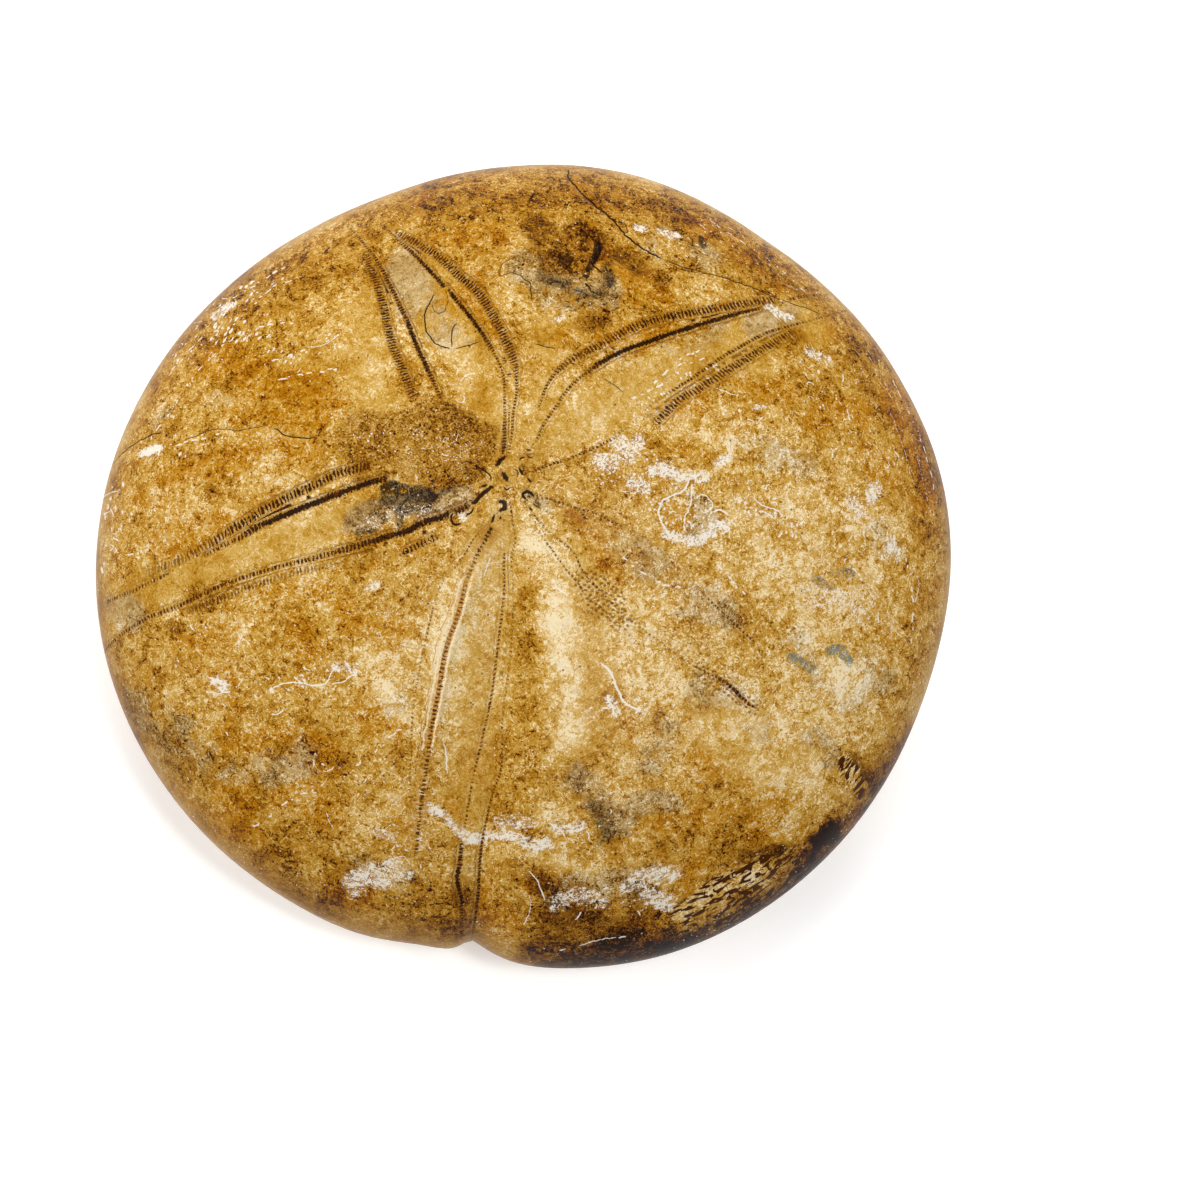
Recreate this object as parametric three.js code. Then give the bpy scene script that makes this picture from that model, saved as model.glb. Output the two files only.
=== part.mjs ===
// Fossil sea urchin: a polished, low-domed test turned to stone, all in one piece.
// Millimetres, +Z up. The origin lies on the table, under the centre of the outline's box.
// -Y is the animal's front, where the middle petal runs down to a notch in the edge. +Y is its back.
import * as THREE from 'three';

// Driving dimensions.
const HEIGHT = 22.5; // table to the top of the dome
const EDGE_HEIGHT = 9; // table to the widest line
const DOME_POWER = 2; // 2 is half an ellipse from side to side, more is flatter on top
const APEX = new THREE.Vector2(-2.6, 4.8); // where the five petals meet
const MOUTH = new THREE.Vector2(-2.2, -1.4); // centre of the mouth, on the underside

// Distance from the apex to the widest line, every 22.5 degrees from +X towards +Y, notch left out.
const OUTLINE_RADII = [39.3, 36.6, 33.5, 31.7, 29.8, 28.7, 29.5, 31.3, 33.7, 36.0, 37.6, 38.6, 39.5, 41.2, 41.3, 40.3];

// Notch in the front edge: a sharp dip, steeper on the animal's right, beside a wide flat lobe.
const NOTCH_BEARING = 266.8; // degrees
const NOTCH_DEPTH = 1.5;
const NOTCH_STEEP_SIDE = 1.7; // degrees
const NOTCH_GENTLE_SIDE = 4.1; // degrees
const NOTCH_SHARPNESS = 1.4; // 2 is a round-bottomed dip, 1 a pointed one
const LOBE_BEARING = 262; // degrees
const LOBE_DEPTH = 0.75;
const LOBE_SPREAD = 7; // degrees

// Soft valleys along the four other petals, with the surface between them left proud.
const VALLEY_BEARINGS = [28, 120, 200, 322]; // degrees
const VALLEY_DEPTH = 0.25;
const VALLEY_SPREAD = 12; // degrees

// Shallow trough that holds the front petal, from the apex to the notch.
const TROUGH_BEARING = 266; // degrees
const TROUGH_DEPTH = 0.6;
const TROUGH_HALF_WIDTH = 4.5; // at its widest, halfway down the dome

// Underside: a rounded edge, a flat ring that it rests on, and a hollow middle with the mouth.
// The ring's two limits are fractions of the way from the centre to the widest line.
const REST_RING_INNER = 0.6;
const REST_RING_OUTER = 0.7;
const HOLLOW_DEPTH = 3;
const MOUTH_RADIUS = 3;
const MOUTH_DEPTH = 1.8;

// Fineness of the mesh.
const COLUMNS = 124;
const COLUMN_CROWDING = 0.65; // 0 spreads the columns evenly, near 1 crowds them at the notch
const DOME_RINGS = 16;
const EDGE_RINGS = 7;
const HOLLOW_RINGS = 7;

const STONE_COLOUR = 0xc49a52;

function wrapDegrees(angle) {
  return THREE.MathUtils.euclideanModulo(angle + 180, 360) - 180;
}

// A smooth closed curve through the outline's radii: a Catmull-Rom spline in bearing.
function smoothRadius(bearing) {
  const count = OUTLINE_RADII.length;
  const place = THREE.MathUtils.euclideanModulo(bearing, 360) / (360 / count);
  const step = Math.floor(place);
  const t = place - step;
  const [p0, p1, p2, p3] = [-1, 0, 1, 2].map((offset) => OUTLINE_RADII[(step + offset + count) % count]);
  const slopeIn = (p2 - p0) / 2;
  const slopeOut = (p3 - p1) / 2;
  return (
    (2 * t ** 3 - 3 * t ** 2 + 1) * p1 +
    (t ** 3 - 2 * t ** 2 + t) * slopeIn +
    (3 * t ** 2 - 2 * t ** 3) * p2 +
    (t ** 3 - t ** 2) * slopeOut
  );
}

function notchDip(bearing) {
  const fromNotch = wrapDegrees(bearing - NOTCH_BEARING);
  const side = fromNotch < 0 ? NOTCH_STEEP_SIDE : NOTCH_GENTLE_SIDE;
  const dip = NOTCH_DEPTH * Math.exp(-(Math.abs(fromNotch / side) ** NOTCH_SHARPNESS));
  const fromLobe = wrapDegrees(bearing - LOBE_BEARING) / LOBE_SPREAD;
  return dip + LOBE_DEPTH * Math.exp(-(fromLobe ** 2));
}

function outlineRadius(bearing) {
  return smoothRadius(bearing) - notchDip(bearing);
}

// The trough is a parabola across and closes to nothing at the apex and at the edge.
function troughDip(reach, bearing, radius) {
  const sideways = reach * radius * Math.sin(THREE.MathUtils.degToRad(bearing - TROUGH_BEARING));
  const inFront = Math.cos(THREE.MathUtils.degToRad(bearing - TROUGH_BEARING)) > 0;
  const opening = Math.sin(Math.PI * Math.min(reach, 1));
  const halfWidth = TROUGH_HALF_WIDTH * opening;
  if (!inFront || Math.abs(sideways) >= halfWidth) {
    return 0;
  }
  return TROUGH_DEPTH * opening * (1 - (sideways / halfWidth) ** 2);
}

function valleyDip(reach, bearing) {
  const across = VALLEY_BEARINGS.map((valley) => Math.exp(-((wrapDegrees(bearing - valley) / VALLEY_SPREAD) ** 2)));
  return VALLEY_DEPTH * Math.sin(Math.PI * Math.min(reach, 1)) * Math.max(...across);
}

function domeHeight(reach, bearing, radius) {
  const dome = (HEIGHT - EDGE_HEIGHT) * Math.sqrt(Math.max(0, 1 - reach ** DOME_POWER));
  return EDGE_HEIGHT + dome - troughDip(reach, bearing, radius) - valleyDip(reach, bearing);
}

function undersideHeight(reach, radius) {
  if (reach > REST_RING_OUTER) {
    const out = (reach - REST_RING_OUTER) / (1 - REST_RING_OUTER);
    return EDGE_HEIGHT * (1 - Math.sqrt(Math.max(0, 1 - out ** 2)));
  }
  if (reach >= REST_RING_INNER) {
    return 0;
  }
  const hollow = HOLLOW_DEPTH * Math.cos(((Math.PI / 2) * reach) / REST_RING_INNER) ** 2;
  const intoMouth = Math.min(1, (reach * radius) / MOUTH_RADIUS);
  return hollow + MOUTH_DEPTH * (1 - intoMouth ** 2) ** 2;
}

// A unit outline to turn: x is the reach from the axis to the edge, y is below 0 on the underside.
function turningProfile() {
  const points = [];
  for (let ring = 0; ring <= HOLLOW_RINGS; ring += 1) {
    const reach = (REST_RING_INNER * ring) / HOLLOW_RINGS;
    points.push(new THREE.Vector2(reach, reach - 1));
  }
  for (let ring = 0; ring < EDGE_RINGS; ring += 1) {
    const out = Math.sin(((Math.PI / 2) * ring) / EDGE_RINGS);
    const reach = REST_RING_OUTER + (1 - REST_RING_OUTER) * out;
    points.push(new THREE.Vector2(reach, reach - 1));
  }
  for (let ring = 0; ring <= DOME_RINGS; ring += 1) {
    const reach = Math.cos(((Math.PI / 2) * ring) / DOME_RINGS);
    points.push(new THREE.Vector2(ring === DOME_RINGS ? 0 : reach, 1 - reach));
  }
  return points;
}

function shapeVertex(turned, shaped) {
  const reach = Math.hypot(turned.x, turned.z);
  const turn = Math.atan2(turned.x, turned.z);
  const crowded = turn - COLUMN_CROWDING * Math.sin(turn);
  const bearing = NOTCH_BEARING + THREE.MathUtils.radToDeg(crowded);
  const radius = outlineRadius(bearing);
  const direction = THREE.MathUtils.degToRad(bearing);
  const centre = APEX.clone();
  let height = domeHeight(reach, bearing, radius);
  if (turned.y < 0) {
    centre.lerp(MOUTH, 1 - reach);
    height = undersideHeight(reach, radius);
  }
  const x = centre.x + reach * radius * Math.cos(direction);
  const y = centre.y + reach * radius * Math.sin(direction);
  return shaped.set(x, y, height);
}

function fossilGeometry() {
  const geometry = new THREE.LatheGeometry(turningProfile(), COLUMNS);
  const position = geometry.getAttribute('position');
  const turned = new THREE.Vector3();
  const shaped = new THREE.Vector3();
  for (let index = 0; index < position.count; index += 1) {
    turned.fromBufferAttribute(position, index);
    shapeVertex(turned, shaped);
    position.setXYZ(index, shaped.x, shaped.y, shaped.z);
  }
  geometry.computeBoundingBox();
  const middle = geometry.boundingBox.getCenter(new THREE.Vector3());
  geometry.translate(-middle.x, -middle.y, 0);
  geometry.computeVertexNormals();
  return geometry;
}

const stone = new THREE.MeshStandardMaterial({ color: STONE_COLOUR, roughness: 0.35, metalness: 0 });
const fossil = new THREE.Mesh(fossilGeometry(), stone);
fossil.name = 'fossil_urchin';

const group = new THREE.Group();
group.add(fossil);

export default group;
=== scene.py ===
"""Looks of the fossil sea urchin: one polished stone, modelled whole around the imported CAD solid.

Plan lengths are millimetres from the apex, where the petals meet, +x to the right and +y to the back,
unless a name says otherwise. Blender's objects are in metres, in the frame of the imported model.
"""
import math

import bpy
import numpy as np
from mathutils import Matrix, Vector
from mathutils.geometry import delaunay_2d_cdt


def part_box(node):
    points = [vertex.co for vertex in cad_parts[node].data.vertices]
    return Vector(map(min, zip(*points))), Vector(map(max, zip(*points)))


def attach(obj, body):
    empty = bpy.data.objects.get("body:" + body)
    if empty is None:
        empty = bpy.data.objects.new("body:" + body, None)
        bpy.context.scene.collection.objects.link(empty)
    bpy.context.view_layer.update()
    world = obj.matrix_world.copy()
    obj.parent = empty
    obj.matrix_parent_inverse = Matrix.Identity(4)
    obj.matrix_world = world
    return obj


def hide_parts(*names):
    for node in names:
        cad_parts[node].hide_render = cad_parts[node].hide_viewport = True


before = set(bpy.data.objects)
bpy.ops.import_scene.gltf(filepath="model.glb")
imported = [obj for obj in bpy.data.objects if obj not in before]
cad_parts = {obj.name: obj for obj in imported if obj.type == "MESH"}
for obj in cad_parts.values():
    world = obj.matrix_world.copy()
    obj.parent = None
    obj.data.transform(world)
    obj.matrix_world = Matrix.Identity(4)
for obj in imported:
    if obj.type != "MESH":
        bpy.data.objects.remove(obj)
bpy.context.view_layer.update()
NODE = "fossil_urchin"
BOX_LOW, BOX_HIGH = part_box(NODE)
MM = 0.001

# ---------------------------------------------------------------------------------------------
# Shape of the fossil, the same as the CAD solid's.
# ---------------------------------------------------------------------------------------------
HEIGHT = (BOX_HIGH.z - BOX_LOW.z) / MM
EDGE_HEIGHT = 0.4 * HEIGHT
OUTLINE_RADII = [
    39.3, 36.6, 33.5, 31.7, 29.8, 28.7, 29.5, 31.3,
    33.7, 36.0, 37.6, 38.6, 39.5, 41.2, 41.3, 40.3,
]
MOUTH = np.array([0.4, -6.2])
NOTCH_BEARING = 266.8
NOTCH_DEPTH = 1.5
NOTCH_STEEP_SIDE = 1.7
NOTCH_GENTLE_SIDE = 4.1
NOTCH_SHARPNESS = 1.4
LOBE_BEARING = 262
LOBE_DEPTH = 0.75
LOBE_SPREAD = 7
VALLEY_BEARINGS = [28, 120, 200, 322]
VALLEY_DEPTH = 0.25
VALLEY_SPREAD = 12
TROUGH_BEARING = 266
TROUGH_DEPTH = 0.6
TROUGH_HALF_WIDTH = 4.5
REST_RING_INNER = 0.6
REST_RING_OUTER = 0.7
HOLLOW_DEPTH = 3
MOUTH_RADIUS = 3
MOUTH_DEPTH = 1.8

# Fineness of the mesh. Spacings, gaps and radii are in millimetres, and the jitter is a share of a spacing.
RANDOM_SEED = 7
RING_POINTS = 640
TOP_SPACING = 0.41
FINE_SPACING = 0.25
UNDERSIDE_SPACING = 0.72
GRID_JITTER = 0.22
DOME_RING_GAP = 0.15
UNDERSIDE_RING_GAP = 0.75
INNER_RING_GAP = 0.35
LEAST_GAP = 0.05
APEX_FINE_RADIUS = 3.4
SMALL_MARK = 0.85
# So many points at a time are compared with the rows that lie as near as this.
STRIP_COUNT = 500
STRIP_MARGIN = 1.2

# Pore rows and strokes. A duty is the half length of a pore as a share of the pitch.
PORE_PITCH = 0.33
STEPS_PER_PORE = 4
NARROW_ROW = 0.3
COMB_START_HALF = 0.15
COMB_DUTY = 0.29
LINE_DUTY = 0.26
DARK_LINE_EXTRA = 0.12
LEAST_GLINT = 0.02
ROW_GAP = 0.08
ROW_EDGE = 0.1
STROKE_STEP = 0.16
STROKE_WANDER = 0.035
STROKE_EDGE = 0.03
STROKE_GAP = 0.05
DASH_SCATTER = 0.07
FLECK_STEP = 0.2
THREAD_STEPS = (0.2, 0.42)


def wrap_degrees(angle):
    return (angle + 180) % 360 - 180


def smoothstep(low, high, value):
    t = np.clip((value - low) / (high - low), 0, 1)
    return t * t * (3 - 2 * t)


def smooth_radius(bearing):
    """Catmull-Rom curve through the outline's radii, closed on itself."""
    radii = np.array(OUTLINE_RADII)
    count = len(radii)
    place = (bearing % 360) / (360 / count)
    step = np.floor(place).astype(int)
    t = place - step
    p0, p1, p2, p3 = (radii[(step + offset) % count] for offset in (-1, 0, 1, 2))
    slope_in = (p2 - p0) / 2
    slope_out = (p3 - p1) / 2
    return (
        (2 * t**3 - 3 * t**2 + 1) * p1
        + (t**3 - 2 * t**2 + t) * slope_in
        + (3 * t**2 - 2 * t**3) * p2
        + (t**3 - t**2) * slope_out
    )


def outline_radius(bearing):
    from_notch = wrap_degrees(bearing - NOTCH_BEARING)
    side = np.where(from_notch < 0, NOTCH_STEEP_SIDE, NOTCH_GENTLE_SIDE)
    dip = NOTCH_DEPTH * np.exp(-(np.abs(from_notch / side) ** NOTCH_SHARPNESS))
    lobe = LOBE_DEPTH * np.exp(-((wrap_degrees(bearing - LOBE_BEARING) / LOBE_SPREAD) ** 2))
    return smooth_radius(bearing) - dip - lobe


def outline_middle():
    """Middle of the outline's box, from the apex."""
    bearing = np.arange(0, 360, 0.25)
    angle = np.radians(bearing)
    outline = outline_radius(bearing)[:, None] * np.column_stack([np.cos(angle), np.sin(angle)])
    return (outline.min(0) + outline.max(0)) / 2


BOX_MIDDLE = np.array([(BOX_LOW.x + BOX_HIGH.x) / 2, (BOX_LOW.y + BOX_HIGH.y) / 2]) / MM
APEX = BOX_MIDDLE - outline_middle()


def reach_and_bearing(x, y):
    """Share of the way to the edge, and bearing in degrees, of points in plan from the apex."""
    bearing = np.degrees(np.arctan2(y, x))
    return np.hypot(x, y) / outline_radius(bearing), bearing


def dome_height(reach, bearing, radius):
    dome = (HEIGHT - EDGE_HEIGHT) * np.sqrt(np.clip(1 - reach**2, 0, 1))
    opening = np.sin(np.pi * np.clip(reach, 0, 1))
    off_valley = np.min([np.abs(wrap_degrees(bearing - valley)) for valley in VALLEY_BEARINGS], axis=0)
    valley_dip = VALLEY_DEPTH * opening * np.exp(-((off_valley / VALLEY_SPREAD) ** 2))
    turn = np.radians(bearing - TROUGH_BEARING)
    sideways = reach * radius * np.sin(turn) / np.maximum(TROUGH_HALF_WIDTH * opening, 1e-6)
    in_trough = (np.cos(turn) > 0) & (np.abs(sideways) < 1)
    trough_dip = np.where(in_trough, TROUGH_DEPTH * opening * (1 - sideways**2), 0)
    return EDGE_HEIGHT + dome - valley_dip - trough_dip


def underside_height(reach, radius):
    out = np.clip((reach - REST_RING_OUTER) / (1 - REST_RING_OUTER), 0, 1)
    edge = EDGE_HEIGHT * (1 - np.sqrt(1 - out**2))
    inside = np.clip(reach / REST_RING_INNER, 0, 1)
    hollow = HOLLOW_DEPTH * np.cos(np.pi / 2 * inside) ** 2
    into_mouth = np.clip(reach * radius / MOUTH_RADIUS, 0, 1)
    mouth = MOUTH_DEPTH * (1 - into_mouth**2) ** 2
    return np.where(reach > REST_RING_OUTER, edge, hollow + mouth)


# ---------------------------------------------------------------------------------------------
# Flat maps of the two sides. Each side is laid out on a disc, nearly true to size, to be meshed.
# ---------------------------------------------------------------------------------------------
MAP_RADIUS = 41.0
PROFILE_REACH = np.sin(np.linspace(0, np.pi / 2, 721))
MEAN_RADIUS = float(np.mean(OUTLINE_RADII))


def walked_share(height):
    """Share of the way walked from the middle to the edge, at each reach of the profile."""
    steps = np.hypot(np.diff(PROFILE_REACH) * MEAN_RADIUS, np.diff(height))
    walked = np.concatenate([[0], np.cumsum(steps)])
    return walked / walked[-1]


DOME_PROFILE = EDGE_HEIGHT + (HEIGHT - EDGE_HEIGHT) * np.sqrt(np.clip(1 - PROFILE_REACH**2, 0, 1))
DOME_WALK = walked_share(DOME_PROFILE)
UNDERSIDE_WALK = walked_share(underside_height(PROFILE_REACH, MEAN_RADIUS))


def plan_to_map(x, y):
    reach, bearing = reach_and_bearing(x, y)
    walk = np.interp(reach, PROFILE_REACH, DOME_WALK) * MAP_RADIUS
    angle = np.radians(bearing)
    return np.column_stack([walk * np.cos(angle), walk * np.sin(angle)])


def map_to_reach(points, walk):
    reach = np.interp(np.hypot(points[:, 0], points[:, 1]) / MAP_RADIUS, walk, PROFILE_REACH)
    bearing = np.degrees(np.arctan2(points[:, 1], points[:, 0]))
    return reach, bearing


def dome_points(points):
    """Plan x and y from the apex, and height, of points on the dome's map."""
    reach, bearing = map_to_reach(points, DOME_WALK)
    radius = outline_radius(bearing)
    angle = np.radians(bearing)
    return np.column_stack([
        reach * radius * np.cos(angle),
        reach * radius * np.sin(angle),
        dome_height(reach, bearing, radius),
    ])


def underside_points(points):
    reach, bearing = map_to_reach(points, UNDERSIDE_WALK)
    radius = outline_radius(bearing)
    angle = np.radians(bearing)
    return np.column_stack([
        MOUTH[0] * (1 - reach) + reach * radius * np.cos(angle),
        MOUTH[1] * (1 - reach) + reach * radius * np.sin(angle),
        underside_height(reach, radius),
    ])


# ---------------------------------------------------------------------------------------------
# Pore rows of the five petals. A guide point is (out along the petal, aside, darkness), in
# millimetres, with aside growing anticlockwise. Rows run from the apex outwards.
# ---------------------------------------------------------------------------------------------
PETALS = {
    "left_back": (120, [
        ("comb", 0.46, [
            (10, 3.65, 0.6), (12.4, 3.25, 0.8), (15.5, 2.6, 0.9), (19, 1.4, 0.9), (21, 0.9, 0.7),
            (23.5, 0.4, 0.3),
        ]),
        ("line", 0.27, [
            (8.8, 1.75, 0.5), (11.2, 1.4, 0.8), (13.7, 1.1, 0.95), (16.6, 0.55, 0.8), (19.8, 0.15, 0.7),
            (22.6, -0.15, 0.6), (26.7, 0, 0.25),
        ]),
        ("line", 0.27, [
            (2, -0.3, 0.9), (3.4, -1.25, 0.75), (5.3, -2.4, 0.45), (7.6, -3.65, 0.4), (9.3, -4.1, 0.45),
            (11.5, -4.2, 0.75), (13.9, -4.1, 1), (15.6, -3.9, 0.9), (17.4, -3.65, 0.9), (20.5, -3.2, 0.8),
            (22.9, -2.75, 0.6), (25.3, -2.3, 0.3),
        ]),
        ("comb", 0.5, [
            (1.9, -0.75, 0.3), (3.2, -1.85, 0.45), (4.8, -2.95, 0.5), (6.3, -4.15, 0.5), (8.2, -5.15, 0.5),
            (9.4, -5.4, 0.7), (12.1, -5.75, 0.85), (15.4, -5.8, 0.9), (17.5, -5.25, 0.85),
            (19.4, -4.9, 0.9), (21.2, -4.2, 0.7), (22.8, -3.5, 0.5), (24.2, -2.6, 0.25),
        ]),
    ]),
    "left": (200, [
        ("comb", 0.44, [
            (10.7, -4.95, 0.6), (13.1, -5.2, 0.9), (15.6, -5, 1), (19.7, -4.6, 1), (21.8, -4.15, 0.9),
            (23.9, -3.8, 0.6), (25.9, -3.4, 0.35), (28.5, -3.15, 0.25), (30.8, -3.3, 0.15),
        ]),
        ("line", 0.33, [
            (9.8, -3.45, 0.9), (12.2, -3.6, 1), (16.8, -3.55, 1), (20.8, -3.4, 0.9), (22.9, -3.05, 0.6),
            (27.4, -2.7, 0.45), (31.7, -2.4, 0.4), (34.5, -2.55, 0.3),
        ]),
        ("line", 0.31, [
            (2.6, 0.6, 0.8), (4, 1, 0.8), (6.1, 1.15, 0.9), (8, 1.1, 0.9), (9.8, 1.3, 0.95),
            (11.7, 1.15, 1), (13.6, 1.1, 0.8), (17.4, 0.8, 0.6), (21.2, 0.35, 0.5), (25, 0.15, 0.5),
            (29, 0.35, 0.55), (32.8, 0.35, 0.5), (36, 1.2, 0.3),
        ]),
        ("comb", 0.28, [
            (7.4, 2.6, 0.3), (8.8, 2.7, 0.9), (10.4, 2.9, 0.9), (11.3, 2.8, 0.05), (15.6, 2, 0.1),
            (19.3, 1.4, 0.2), (22.7, 1.15, 0.25), (26.3, 1.15, 0.35), (28.7, 0.95, 0.3),
        ]),
    ]),
    "front": (266, [
        ("ridge", 0.55, [
            (3.9, -1.2, 1), (5.2, -1.7, 0.7), (6.7, -2.35, 0.4), (8.9, -3.05, 0.35), (11.8, -3.6, 0.4),
            (14.6, -4.3, 0.35), (18.4, -4.65, 0.45), (21.3, -4.95, 0.45), (24.2, -5.05, 0.45),
            (27.9, -5.2, 0.5), (31.5, -5.2, 0.3),
        ]),
        ("line", 0.15, [
            (3.9, -1.7, 0.35), (5.3, -2.7, 0.4), (7.2, -3.65, 0.3), (9.5, -5.2, 0.2), (13.7, -6, 0.25),
            (18.6, -6.55, 0.2), (21.5, -6.55, 0.2), (26.3, -6.25, 0.2),
        ]),
        ("line", 0.15, [
            (1.9, 0, 0.3), (3.8, 0.4, 0.35), (5, 0.7, 0.35), (6.9, 0.52, 0.3), (9.6, 0.9, 0.1),
            (13.7, 1.1, 0.2), (16.1, 1.05, 0.3), (20.1, 0.9, 0.2), (23.6, 1.2, 0.35), (25.9, 0.7, 0.45),
            (28.1, 0.4, 0.5), (30.5, 0.2, 0.7), (32.1, 0.27, 0.7), (33.7, 0.38, 0.8), (36.5, 0.46, 0.6),
            (37.1, 0.48, 0.5),
        ]),
        ("line", 0.16, [
            (5.5, -0.1, 0.2), (7.2, -0.05, 0.5), (9.7, 0.15, 0.5), (13.5, 0.05, 0.5), (17.7, -0.1, 0.5),
            (21.1, -0.5, 0.5), (24.8, -1.05, 0.45), (29.1, -1.4, 0.3),
        ]),
        ("line", 0.2, [
            (30.2, -1.5, 0.7), (31.9, -1.45, 0.8), (33.1, -1.55, 1), (34.6, -0.95, 0.9), (35.9, -0.8, 0.6),
            (37.4, -0.45, 0.7),
        ]),
    ]),
    "right": (322, [
        ("line", 0.16, [
            (2.7, -0.15, 0.2), (3.5, 0.6, 0.45), (5.3, 1.25, 0.4), (7.5, 2.2, 0.4), (8.8, 2.45, 0.4),
            (12.3, 3.2, 0.1), (18.1, 2.75, 0.15), (22.4, 2.55, 0.5), (24.4, 2.5, 0.4),
        ]),
        ("line", 0.16, [
            (2.2, -0.9, 0.45), (3.8, -1.35, 0.35), (5.1, -1.6, 0.35), (7.8, -1.6, 0.3), (9.3, -2.3, 0.35),
            (11.6, -2.75, 0.4), (14.7, -2.95, 0.3), (18, -2.8, 0.15), (21.6, -2.45, 0.25),
            (24.6, -1.75, 0.7), (27.1, -1.8, 0.7), (28, -1.6, 0.4),
        ]),
        ("line", 0.14, [
            (4.1, -2, 0.3), (8.1, -3.1, 0.35), (9.7, -3.4, 0.35), (11.4, -3.9, 0.25), (13.3, -3.8, 0.3),
        ]),
    ]),
    "right_back": (28, [
        ("comb", 0.46, [
            (4.8, 4.25, 0.3), (5.5, 4.9, 0.4), (6.5, 5.75, 0.7), (7.9, 6.45, 0.5), (9.7, 6.75, 0.45),
            (12.1, 6.85, 0.5), (15.4, 7, 0.8), (18.2, 6.7, 0.95), (20.9, 6.05, 0.9), (23.6, 5.4, 0.8),
            (26.4, 4.75, 0.6), (28.4, 4.2, 0.3),
        ]),
        ("line", 0.29, [
            (1.9, 1.0, 0.8), (3.2, 1.8, 0.45), (4.8, 3, 0.45), (6.2, 3.7, 0.45), (7.8, 4.6, 0.45),
            (9.6, 5.1, 0.5), (10.9, 5.35, 0.8), (12, 5.5, 1), (14.1, 5.5, 1), (16.4, 5.3, 1),
            (18.8, 5.1, 1), (23.6, 4.5, 0.9), (26, 4.2, 0.8), (28.8, 3.8, 0.4), (30.4, 3.65, 0.35),
            (33.8, 3, 0.2),
        ]),
        ("line", 0.22, [
            (1.9, -0.25, 0.5), (3.5, -0.45, 0.45), (5.2, -0.7, 0.35), (7.1, -0.8, 0.55), (9.2, -0.8, 0.4),
            (11.7, -0.25, 0.1), (14.2, 0.45, 0.25), (17.9, 0.9, 0.55), (21.6, 1.5, 0.6), (26, 1.8, 0.55),
            (28.5, 1.55, 0.4), (31.3, 1.25, 0.35), (34.7, 1.15, 0.25),
        ]),
        ("comb", 0.36, [
            (12.9, -1.1, 0.2), (13.9, -0.95, 0.6), (16, -0.3, 0.6), (18.1, -0.15, 0.5), (20.1, 0.1, 0.5),
            (24.4, 0.6, 0.55), (26.8, 0.85, 0.5), (28.3, 0.9, 0.3),
        ]),
    ]),
}

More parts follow.
